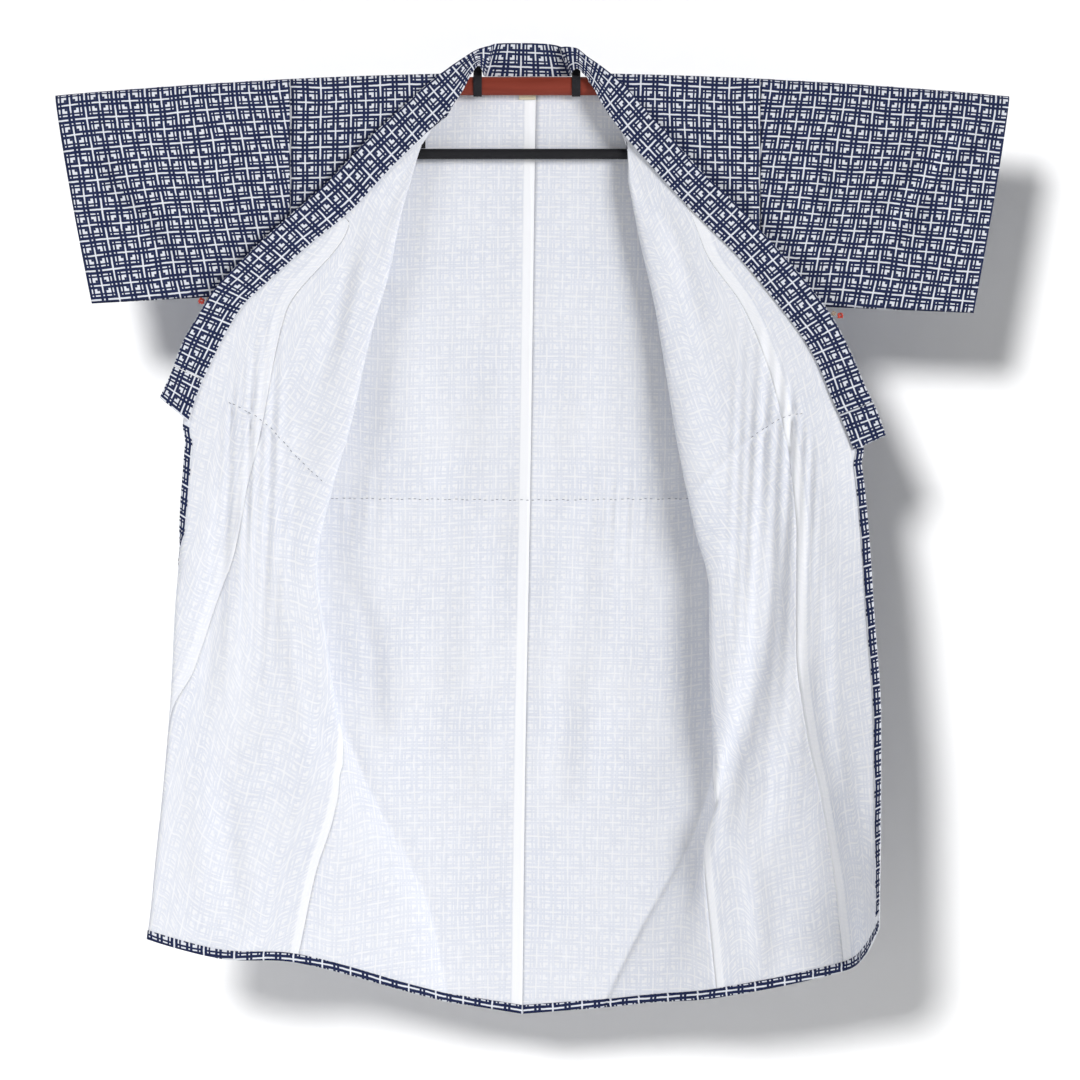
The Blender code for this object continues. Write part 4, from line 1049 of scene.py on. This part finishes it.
def threads(name, paths, radius, material, sides=7):
    """Lengths of thread as one piece."""
    mesh = bmesh.new()
    for path in paths:
        tube(mesh, np.array(path, float), radius, sides)
    bmesh.ops.recalc_face_normals(mesh, faces=mesh.faces)
    data = bpy.data.meshes.new(name)
    mesh.to_mesh(data)
    mesh.free()
    data.shade_smooth()
    data.materials.append(material)
    obj = bpy.data.objects.new(name, data)
    bpy.context.scene.collection.objects.link(obj)
    return obj


def waist_stitches(name, parts, out, material):
    """The running stitches that hold the waist tuck: short lengths of thread on the cloth's face."""
    paths = []
    for piece, row, first, last in parts:
        line = piece["points"][row, first:last]
        normals = grid_normals(piece["points"])[row, first:last] * -out
        lengths = along(line)
        place, k = 2.0, 0
        while place + 3.4 < lengths[-1]:
            stitch = []
            for share, rise in ((0, 0.25), (0.3, 0.72), (0.7, 0.72), (1, 0.25)):
                where = place + 3.2 * share
                drift = 0.6 * math.sin(k * 1.7)
                point = at_length(line, lengths, where) + at_length(normals, lengths, where) * rise
                stitch.append(point + np.array((0, 0, drift)))
            paths.append(stitch)
            place += 8.2 + 2.2 * math.sin(k * 2.3)
            k += 1
    return threads(name, paths, 0.33, material, 5)


def make_tack(name, box, material, turns, radius, seed):
    """A tack of thread: a small wound knot with two loose ends."""
    low, high = np.array(box[0]) / MM, np.array(box[1]) / MM
    middle, half = (low + high) / 2, (high - low) / 2 * 0.8
    paths = []
    for k in range(turns):
        tilt = k * math.pi / turns + seed
        path = []
        for turn in np.linspace(0, 2 * math.pi, 19):
            wide = half[0] * (1 - 0.1 * k % 0.3)
            x, z = wide * math.cos(turn), half[2] * 0.55 * math.sin(turn)
            step = (
                x * math.cos(tilt) - z * math.sin(tilt),
                half[1] * 0.7 * math.sin(2 * turn + k),
                x * math.sin(tilt) + z * math.cos(tilt),
            )
            path.append(middle + np.array(step))
        paths.append(path)
    for way in (-1, 1):
        end = []
        for t in np.linspace(0, 1, 7):
            end.append(middle + np.array((way * half[0] * 0.9 * t, 0, -half[2] * (0.2 + 0.9 * t * t))))
        paths.append(end)
    return threads(name, paths, radius, material)


def make_label(material):
    """A bare woven label, sewn inside the neck."""
    low, high = (np.array(corner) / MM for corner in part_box("neck_label"))
    rows = []
    for z in np.linspace(high[2] - 0.3, low[2] + 0.3, 13):
        share = (high[2] - z) / (high[2] - low[2])
        line = []
        for x in np.linspace(low[0] + 0.4, high[0] - 0.4, 21):
            side_share = (x - low[0]) / (high[0] - low[0])
            stands = 0.9 * math.sin(math.pi * side_share) * share + 0.25 * math.sin(side_share * 9)
            line.append((x, (low[1] + high[1]) / 2 - 0.2 - stands, z))
        rows.append(line)
    grid = np.array(rows)
    index = np.arange(grid.shape[0] * grid.shape[1]).reshape(grid.shape[:2])
    across = np.tile(grid[0, :, 0] - low[0], grid.shape[0])
    down = (high[2] - grid[..., 2]).ravel()
    name, no_seam = "neck_label_cloth", np.full(index.size, NO_SEAM)
    mesh = cloth_mesh(name, grid.reshape(-1, 3), faces_of(index), across, down, no_seam, -1)
    return shell(name, mesh, 0.5, material)


def oval_path(depth, drop, half_depth, half_height, count=48):
    turns = np.linspace(0, 2 * math.pi, count, endpoint=False)
    return [(depth + half_depth * math.cos(a), -drop + half_height * math.sin(a)) for a in turns]


def webbing(mesh, across, width, path, thick, closed):
    """A ribbed flat strap along a path in the upright plane, added to the bmesh."""
    ribs = 6
    columns = np.linspace(-0.5, 0.5, 4 * ribs + 1)
    count = len(path)
    rings = []
    for k in range(count):
        before = path[(k - 1) % count] if closed else path[max(k - 1, 0)]
        after = path[(k + 1) % count] if closed else path[min(k + 1, count - 1)]
        way = np.array(after) - np.array(before)
        way /= max(np.linalg.norm(way), 1e-9)
        normal = np.array((way[1], -way[0]))
        ring = []
        for face in (1, -1):
            for c in columns if face == 1 else columns[::-1]:
                rib = 0.16 * math.cos(2 * math.pi * ribs * c) - 0.1
                edge = 1 - 0.5 * smoothstep((abs(c) - 0.44) / 0.06)
                y, z = np.array(path[k]) + normal * face * (thick / 2 * float(edge) + rib)
                ring.append(mesh.verts.new(((across + c * width) * MM, y * MM, z * MM)))
        rings.append(ring)
    pairs = list(zip(rings, rings[1:])) + ([(rings[-1], rings[0])] if closed else [])
    size = len(rings[0])
    for a, b in pairs:
        for k in range(size):
            n = (k + 1) % size
            mesh.faces.new((a[k], a[n], b[n], b[k]))
    if not closed:
        mesh.faces.new(rings[0][::-1])
        mesh.faces.new(rings[-1])


def make_strap(name, material):
    """A hanging strap: ribbed webbing looped round the bar, a stem and an eye."""
    low, high = (np.array(corner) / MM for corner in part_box(name))
    bar_low, bar_high = (np.array(corner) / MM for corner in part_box("hanger_bar"))
    across, width = (low[0] + high[0]) / 2, high[0] - low[0] - 0.2
    bar_drop = -(bar_low[2] + bar_high[2]) / 2
    half_depth, half_height = (bar_high[1] - bar_low[1]) / 2, (bar_high[2] - bar_low[2]) / 2
    mesh = bmesh.new()
    webbing(mesh, across, width, oval_path(0, bar_drop, half_depth + 1.15, half_height + 1.15), 1.5, True)
    eye = 3.6
    webbing(mesh, across, width, oval_path(4.5, 4.6, eye, eye, 28), 1.4, True)
    stem = [(4.5, z) for z in np.linspace(-bar_drop + half_height + 1.0, -4.6 - eye, 8)]
    webbing(mesh, across, width, stem, 1.4, False)
    bmesh.ops.recalc_face_normals(mesh, faces=mesh.faces)
    data = bpy.data.meshes.new("webbing_" + name)
    mesh.to_mesh(data)
    mesh.free()
    data.shade_smooth()
    data.materials.append(material)
    obj = bpy.data.objects.new("webbing_" + name, data)
    bpy.context.scene.collection.objects.link(obj)
    return obj


# Finishes


def new_group(name, inputs, outputs):
    group = bpy.data.node_groups.new(name, "ShaderNodeTree")
    for label, kind, value in inputs:
        socket = group.interface.new_socket(name=label, in_out="INPUT", socket_type=kind)
        if value is not None:
            socket.default_value = value
    for label, kind in outputs:
        group.interface.new_socket(name=label, in_out="OUTPUT", socket_type=kind)
    return group, add(group, "NodeGroupInput"), add(group, "NodeGroupOutput")


def add(tree, kind, given=None, **settings):
    """Adds a node; given maps its inputs to values or to other nodes' outputs."""
    node = tree.nodes.new(kind)
    for key, value in settings.items():
        setattr(node, key, value)
    for key, value in (given or {}).items():
        socket = node.inputs[key]
        if isinstance(value, bpy.types.NodeSocket):
            tree.links.new(value, socket)
        else:
            socket.default_value = value
    return node


def sum_of(tree, operation, first, second=0.0, third=None):
    given = {0: first, 1: second}
    if third is not None:
        given[2] = third
    return add(tree, "ShaderNodeMath", given, operation=operation).outputs[0]


def vector_of(tree, operation, given):
    return add(tree, "ShaderNodeVectorMath", given, operation=operation).outputs[0]


def ramp(tree, value, stops):
    node = add(tree, "ShaderNodeValToRGB", {"Fac": value})
    elements = node.color_ramp.elements
    while len(elements) < len(stops):
        elements.new(1.0)
    for element, (position, colour) in zip(elements, stops):
        element.position = position
        element.color = colour
    return node.outputs["Color"]


# One repeat of the print, from the middle of its wide white line outwards, as shares of the repeat
LINE_ENDS = (
    ("wide", 0.028),
    ("dark", 0.122),
    ("block", 0.166),
    ("gap", 0.228),
    ("outer", 0.31),
    ("corner", 0.388),
    ("dark_wide", 0.475),
    ("narrow", 0.5),
)
INK_EDGE = 0.007
FIRST_MARKS = {
    "wide": (1, 0, 0),
    "narrow": (0, 1, 0),
    "block": (0, 0, 1),
    "outer": (0, 0, 1),
    "corner": (0, 0, 1),
}
SECOND_MARKS = {"dark_wide": (1, 0, 0), "dark": (0, 1, 0), "gap": (0, 1, 0), "corner": (0, 0, 1)}


def marks(tree, distance, table):
    """Ramps the distance from the wide line into three masks."""
    stops, start = [], 0.0
    for name, end in LINE_ENDS:
        colour = tuple(float(c) for c in table.get(name, (0, 0, 0))) + (1.0,)
        stops.append((max(0.0, 2 * (start + INK_EDGE / 2)) if start else 0.0, colour))
        stops.append((min(1.0, 2 * (end - INK_EDGE / 2)), colour))
        start = end
    doubled = sum_of(tree, "MULTIPLY", distance, 2.0)
    split = add(tree, "ShaderNodeSeparateColor", {"Color": ramp(tree, doubled, stops)})
    return split.outputs


def make_print_group():
    """The lattice print: 1 where the cotton was left white, 0 where it is dyed."""
    group, start, end = new_group(
        "lattice_print",
        (
            ("Cloth", "NodeSocketVector", None),
            ("Repeat", "NodeSocketFloat", REPEAT),
            ("Unevenness", "NodeSocketFloat", 0.0011),
            ("Pull", "NodeSocketFloat", 0.009),
        ),
        (("White", "NodeSocketFloat"),),
    )
    cloth = start.outputs["Cloth"]
    moved = cloth
    for scale, detail, reach in ((150.0, 2.0, "Unevenness"), (9.0, 1.0, "Pull")):
        noise = add(group, "ShaderNodeTexNoise", {"Vector": cloth, "Scale": scale, "Detail": detail})
        centred = vector_of(group, "SUBTRACT", {0: noise.outputs["Color"], 1: (0.5, 0.5, 0.5)})
        shift = vector_of(group, "SCALE", {0: centred, "Scale": start.outputs[reach]})
        moved = vector_of(group, "ADD", {0: moved, 1: shift})
    share = sum_of(group, "DIVIDE", 1.0, start.outputs["Repeat"])
    axes = add(group, "ShaderNodeSeparateXYZ", {0: vector_of(group, "SCALE", {0: moved, "Scale": share})})
    first, second = [], []
    for axis in (0, 1):
        distance = sum_of(group, "PINGPONG", axes.outputs[axis], 0.5)
        first.append(marks(group, distance, FIRST_MARKS))
        second.append(marks(group, distance, SECOND_MARKS))
    white = None
    for mine, other in ((0, 1), (1, 0)):
        lines = []
        for k in (0, 1):
            uncrossed = sum_of(group, "SUBTRACT", 1.0, second[other][k])
            lines.append(sum_of(group, "MULTIPLY", first[mine][k], uncrossed))
        both = sum_of(group, "MAXIMUM", lines[0], lines[1])
        white = both if white is None else sum_of(group, "MAXIMUM", white, both)
    corners = sum_of(group, "MULTIPLY", second[0][2], second[1][2])
    blocks = sum_of(group, "MULTIPLY", first[0][2], first[1][2])
    blocks = sum_of(group, "MULTIPLY", blocks, sum_of(group, "SUBTRACT", 1.0, corners))
    group.links.new(sum_of(group, "MAXIMUM", white, blocks), end.inputs["White"])
    return group


def make_slub_group():
    """Uneven cotton threads both ways: a shade around 0.5 and a height for bump."""
    group, start, end = new_group(
        "cotton_slub",
        (("Cloth", "NodeSocketVector", None), ("Threads", "NodeSocketFloat", 620.0)),
        (("Shade", "NodeSocketFloat"), ("Height", "NodeSocketFloat")),
    )
    both = []
    for stretch in ((1.0, 0.05, 1.0), (0.05, 1.0, 1.0)):
        thin = vector_of(group, "MULTIPLY", {0: start.outputs["Cloth"], 1: stretch})
        given = {"Vector": thin, "Scale": start.outputs["Threads"], "Detail": 2.0}
        both.append(add(group, "ShaderNodeTexNoise", given).outputs[0])
    mixed = sum_of(group, "MULTIPLY", sum_of(group, "ADD", both[0], both[1]), 0.5)
    group.links.new(mixed, end.inputs["Shade"])
    waves = []
    split = add(group, "ShaderNodeSeparateXYZ", {0: start.outputs["Cloth"]})
    for axis in (0, 1):
        waves.append(sum_of(group, "SINE", sum_of(group, "MULTIPLY", split.outputs[axis], 7500.0)))
    plain = sum_of(group, "MULTIPLY", sum_of(group, "MULTIPLY", waves[0], waves[1]), 0.12)
    group.links.new(sum_of(group, "ADD", mixed, plain), end.inputs["Height"])
    return group


def blank(name):
    material = bpy.data.materials.new(name)
    material.use_nodes = True
    tree = material.node_tree
    tree.nodes.clear()
    shader = add(tree, "ShaderNodeBsdfPrincipled")
    add(tree, "ShaderNodeOutputMaterial", {"Surface": shader.outputs[0]})
    return material, tree, shader


def mix_colour(tree, share, first, second):
    """Inputs 6 and 7 and output 2 are the mixing node's colours."""
    given = {0: share, 6: first, 7: second}
    return add(tree, "ShaderNodeMix", given, data_type="RGBA").outputs[2]


def add_group(tree, group, given):
    return add(tree, "ShaderNodeGroup", given, node_tree=group)


def mapped(tree, value, before, after):
    """The value carried from one range to another and kept within it."""
    given = {"Value": value, "From Min": before[0], "From Max": before[1]}
    given.update({"To Min": after[0], "To Max": after[1]})
    return add(tree, "ShaderNodeMapRange", given).outputs[0]


def dimmed(colour, share):
    return tuple(share * c for c in colour[:3]) + (1,)


def cotton_bump(tree, shader, height, strength):
    bump = add(tree, "ShaderNodeBump", {"Height": height, "Strength": strength, "Distance": 0.0004})
    tree.links.new(bump.outputs[0], shader.inputs["Normal"])


def make_printed(name, lattice, slub):
    """The robe's outer face: navy lattice print on white cotton."""
    material, tree, shader = blank(name)
    cloth = add(tree, "ShaderNodeUVMap", uv_map="weave").outputs[0]
    white = add_group(tree, lattice, {"Cloth": cloth}).outputs["White"]
    slubs = add_group(tree, slub, {"Cloth": cloth})
    shade = ramp(tree, slubs.outputs["Shade"], ((0.32, (0, 0, 0, 1)), (0.7, (1, 1, 1, 1))))
    worn = mix_colour(tree, shade, NAVY, NAVY_WORN)
    pale = mix_colour(tree, shade, dimmed(DYED_WHITE, 0.9), DYED_WHITE)
    tree.links.new(mix_colour(tree, white, worn, pale), shader.inputs["Base Color"])
    rough = sum_of(tree, "MULTIPLY_ADD", slubs.outputs["Shade"], 0.16, 0.78)
    tree.links.new(rough, shader.inputs["Roughness"])
    shader.inputs["Specular IOR Level"].default_value = 0.15
    shader.inputs["Sheen Weight"].default_value = 0.03
    cotton_bump(tree, shader, slubs.outputs["Height"], 0.5)
    return material


def make_inside(name, lattice, slub):
    """The inner face: nearly white, with a faint print showing through and white seam allowances."""
    material, tree, shader = blank(name)
    cloth = add(tree, "ShaderNodeUVMap", uv_map="weave").outputs[0]
    seams = add(tree, "ShaderNodeSeparateXYZ", {0: add(tree, "ShaderNodeUVMap", uv_map="seams").outputs[0]})
    white = add_group(tree, lattice, {"Cloth": cloth, "Unevenness": 0.0022}).outputs["White"]
    slubs = add_group(tree, slub, {"Cloth": cloth})
    patch = add(tree, "ShaderNodeTexNoise", {"Vector": cloth, "Scale": 9.0, "Detail": 3.0})
    strength = mapped(tree, patch.outputs[0], (0.3, 0.7), (SHOW_THROUGH * 0.7, SHOW_THROUGH * 1.2))
    dyed = sum_of(tree, "SUBTRACT", 1.0, white)
    seen = sum_of(tree, "MULTIPLY", dyed, strength)
    flecks = ramp(tree, slubs.outputs["Shade"], ((0.36, (0, 0, 0, 1)), (0.66, (1, 1, 1, 1))))
    seen = sum_of(tree, "MULTIPLY", seen, sum_of(tree, "MULTIPLY_ADD", flecks, -0.5, 1.25))
    plain = mix_colour(tree, flecks, dimmed(INSIDE_WHITE, 0.92), INSIDE_WHITE)
    printed = mix_colour(tree, seen, plain, INSIDE_SHADE)
    band = mapped(tree, seams.outputs[0], (BACK_BAND - BAND_EDGE, BACK_BAND), (1.0, 0.0))
    tree.links.new(mix_colour(tree, band, printed, BAND_WHITE), shader.inputs["Base Color"])
    rough = sum_of(tree, "MULTIPLY_ADD", slubs.outputs["Shade"], 0.14, 0.82)
    tree.links.new(rough, shader.inputs["Roughness"])
    shader.inputs["Specular IOR Level"].default_value = 0.2
    edge = sum_of(tree, "MULTIPLY", band, 1.6)
    cotton_bump(tree, shader, sum_of(tree, "ADD", slubs.outputs["Height"], edge), 0.45)
    return material


def make_plain(name, dark, light, roughness, scale, stretch, bump, sheen):
    """Thread, label, lacquer and paint: two close shades worked by a noise in the object's own space."""
    material, tree, shader = blank(name)
    place = add(tree, "ShaderNodeTexCoord").outputs["Object"]
    thin = vector_of(tree, "MULTIPLY", {0: place, 1: stretch})
    noise = add(tree, "ShaderNodeTexNoise", {"Vector": thin, "Scale": scale, "Detail": 4.0}).outputs[0]
    shade = ramp(tree, noise, ((0.3, (0, 0, 0, 1)), (0.72, (1, 1, 1, 1))))
    tree.links.new(mix_colour(tree, shade, dark, light), shader.inputs["Base Color"])
    tree.links.new(sum_of(tree, "MULTIPLY_ADD", noise, 0.18, roughness - 0.09), shader.inputs["Roughness"])
    shader.inputs["Sheen Weight"].default_value = sheen
    shader.inputs["Specular IOR Level"].default_value = 0.3
    fine = add(tree, "ShaderNodeBump", {"Height": noise, "Strength": bump, "Distance": 0.0003})
    tree.links.new(fine.outputs[0], shader.inputs["Normal"])
    return material


def paint(node, material):
    for slot in frame["nodes"][node].material_slots:
        slot.material = material


# The robe

lattice, slub = make_print_group(), make_slub_group()
outer_cotton = make_printed("printed_cotton_face", lattice, slub)
inner_cotton = make_inside("plain_cotton_face", lattice, slub)
# Each plain finish: dark and light shade, roughness, the noise's scale and stretch, bump and sheen
PLAIN_FINISHES = {
    "navy_thread": ((0.012, 0.02, 0.07), (0.04, 0.055, 0.14), 0.8, 2500, (1, 1, 1), 0.3, 0.1),
    "red_thread": ((0.55, 0.05, 0.035), (0.78, 0.11, 0.07), 0.75, 2600, (1, 1, 1), 0.4, 0.2),
    "beige_thread": ((0.42, 0.3, 0.2), (0.62, 0.5, 0.38), 0.75, 2600, (1, 1, 1), 0.4, 0.2),
    "label_cotton": ((0.72, 0.66, 0.48), (0.82, 0.77, 0.6), 0.8, 1800, (1, 1, 0.15), 0.4, 0.0),
    "strap_webbing": ((0.006, 0.006, 0.008), (0.022, 0.022, 0.027), 0.8, 3000, (1, 1, 0.3), 0.5, 0.0),
    "bar_lacquer": ((0.2, 0.028, 0.014), (0.25, 0.038, 0.02), 0.5, 90, (0.12, 1, 1), 0.06, 0.0),
    "black_paint": ((0.006, 0.006, 0.008), (0.012, 0.012, 0.015), 0.66, 700, (0.2, 1, 1), 0.1, 0.0),
}
finish = {}
for name, (dark, light, *rest) in PLAIN_FINISHES.items():
    finish[name] = make_plain(name, dark + (1,), light + (1,), *rest)

made = {}
for side in (LEFT, RIGHT):
    name = side["name"]
    body, back, front = make_body(side, outer_cotton, inner_cotton)
    overlap, okumi = make_okumi(side, outer_cotton, inner_cotton)
    made["body_" + name] = body
    made["okumi_" + name] = overlap
    made["sleeve_" + name] = make_sleeve(side, outer_cotton, inner_cotton)
    for hem_name, parts in side["hems"]:
        made[hem_name] = make_hem(side, "printed_" + hem_name, parts, back, front, okumi, outer_cotton)
    made["edge_fold_" + name] = make_edge(side, okumi, outer_cotton)
    tip = LEG_COLUMNS + len(TIP_STEPS)
    waist, waist_o = ROWS.index(WAIST_ROW), OVERLAP_ROWS.index(WAIST_ROW)
    parts = [
        (back, waist, 0, back["points"].shape[1]),
        (front, waist, tip if name == "left" else tip + LAP_COLUMNS * 2 // 3, front["points"].shape[1]),
        (okumi, waist_o, 0, OKUMI_COLUMNS),
    ]
    stitches = "waist_stitches_" + name
    made[stitches] = waist_stitches(stitches, parts, side["out"], finish["navy_thread"])

last = len(COLLAR) - 1
made["collar_left"] = make_band("band_left", 0, OVER_COLLAR_FIRST - 0.02, outer_cotton)
made["over_collar"] = make_band("band_over_neck", OVER_COLLAR_FIRST, OVER_COLLAR_LAST, outer_cotton)
made["collar_right"] = make_band("band_right", OVER_COLLAR_LAST + 0.02, last, outer_cotton)

for node, colour, turns, radius, seed in (
    ("sleeve_tack_left", "red_thread", 6, 0.75, 0.2),
    ("sleeve_tack_right", "red_thread", 6, 0.75, 0.9),
    ("sleeve_loop_left", "beige_thread", 2, 0.6, 0.4),
    ("sleeve_loop_right", "beige_thread", 2, 0.6, 0.1),
):
    made[node] = make_tack("thread_" + node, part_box(node), finish[colour], turns, radius, seed)
made["neck_label"] = make_label(finish["label_cotton"])
for node in ("hanging_strap_left", "hanging_strap_right"):
    made[node] = make_strap(node, finish["strap_webbing"])

for node, piece in made.items():
    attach(piece, "root")
    if node in frame["nodes"]:
        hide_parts(node)

paint("hanger_bar", finish["bar_lacquer"])
for node in ("hanger_arm_left", "hanger_arm_right", "hanger_link_left", "hanger_link_right", "lower_bar"):
    paint(node, finish["black_paint"])


# Backdrop, camera and light


def stage_material(name, colour):
    """Plain pale paint, seen from the room's side only, so that the robe shows from behind as well."""
    material, tree, shader = blank(name)
    place = add(tree, "ShaderNodeTexCoord").outputs["Object"]
    noise = add(tree, "ShaderNodeTexNoise", {"Vector": place, "Scale": 30.0}).outputs[0]
    shade = mix_colour(tree, noise, dimmed(colour, 0.99), colour)
    tree.links.new(shade, shader.inputs["Base Color"])
    shader.inputs["Roughness"].default_value = 0.95
    shader.inputs["Specular IOR Level"].default_value = 0.0
    clear = add(tree, "ShaderNodeBsdfTransparent")
    behind = add(tree, "ShaderNodeNewGeometry").outputs["Backfacing"]
    both = add(tree, "ShaderNodeMixShader", {0: behind, 1: shader.outputs[0], 2: clear.outputs[0]})
    tree.links.new(both.outputs[0], tree.nodes["Material Output"].inputs["Surface"])
    return material


def make_backdrop():
    """A wall close behind the robe that curves into the floor."""
    profile = [(WALL_DEPTH, 2.6), (WALL_DEPTH, FLOOR + 0.4)]
    for turn in np.linspace(0, math.pi / 2, 9)[1:]:
        profile.append((WALL_DEPTH - 0.4 * (1 - math.cos(turn)), FLOOR + 0.4 * (1 - math.sin(turn))))
    profile.append((-9.0, FLOOR))
    verts = [(x, y, z) for y, z in profile for x in (-6.0, 6.0)]
    faces = [(2 * k, 2 * k + 1, 2 * k + 3, 2 * k + 2) for k in range(len(profile) - 1)]
    mesh = bpy.data.meshes.new("backdrop")
    mesh.from_pydata(verts, [], faces)
    mesh.shade_smooth()
    if mesh.polygons[0].normal.y > 0:
        mesh.flip_normals()
    mesh.materials.append(stage_material("pale_paint", (0.97, 0.97, 0.97, 1)))
    obj = bpy.data.objects.new("backdrop", mesh)
    bpy.context.scene.collection.objects.link(obj)


make_backdrop()

camera_data = bpy.data.cameras.new("camera")
camera_data.sensor_width = 36.0
camera_data.lens = 36.0 * VIEW_DISTANCE / VIEW_WIDTH
camera_data.clip_end = 60.0
camera = bpy.data.objects.new("camera", camera_data)
camera.location = (VIEW_CENTRE[0], -VIEW_DISTANCE, VIEW_CENTRE[1])
camera.rotation_euler = (math.pi / 2, 0, 0)
bpy.context.scene.collection.objects.link(camera)
bpy.context.scene.camera = camera

robe_lit = bpy.data.collections.new("robe_lit")
wall_lit = bpy.data.collections.new("wall_lit")
for obj in bpy.context.scene.objects:
    if obj.type == "MESH":
        (wall_lit if obj.name == "backdrop" else robe_lit).objects.link(obj)


def add_sun(name, energy, angle, tilt, turn, lit, blocked_by=None):
    data = bpy.data.lights.new(name, "SUN")
    data.energy = energy
    data.angle = angle
    sun = bpy.data.objects.new(name, data)
    sun.rotation_euler = (math.radians(tilt), 0, math.radians(turn))
    sun.light_linking.receiver_collection = lit
    if blocked_by:
        sun.light_linking.blocker_collection = blocked_by
    bpy.context.scene.collection.objects.link(sun)


# The wall's light throws the soft shadow to the lower right; the robe's own comes from the right
add_sun("wall_key", 3.0, 0.25, 68, -20, wall_lit)
add_sun("robe_key", 1.98, 0.4, 76, 43, robe_lit)
add_sun("back_fill", 0.9, 0.5, 70, 205, robe_lit, robe_lit)


def add_panel(name, energy, size, place, tilt, turn):
    data = bpy.data.lights.new(name, "AREA")
    data.shape = "RECTANGLE"
    data.size, data.size_y = size
    data.energy = energy
    panel = bpy.data.objects.new(name, data)
    panel.location = place
    panel.rotation_euler = (math.radians(tilt), 0, math.radians(turn))
    panel.light_linking.receiver_collection = robe_lit
    bpy.context.scene.collection.objects.link(panel)


add_panel("soft_side", 42.0, (1.6, 2.6), (4.4, -2.7, 0.3), 79, 58)
add_panel("left_front", 31.0, (1.2, 1.8), (-2.7, -1.7, 0.1), 80, -58)

world = bpy.data.worlds.new("room")
world.use_nodes = True
bpy.context.scene.world = world
room = world.node_tree
room.nodes.clear()
soft = add(room, "ShaderNodeBackground", {"Color": (0.98, 0.99, 1.0, 1), "Strength": 0.15})
seen = add(room, "ShaderNodeBackground", {"Color": (0.97, 0.98, 1.0, 1), "Strength": 0.9})
camera_ray = add(room, "ShaderNodeLightPath").outputs["Is Camera Ray"]
both = add(room, "ShaderNodeMixShader", {0: camera_ray, 1: soft.outputs[0], 2: seen.outputs[0]})
add(room, "ShaderNodeOutputWorld", {"Surface": both.outputs[0]})
bpy.context.scene.view_settings.view_transform = "Standard"
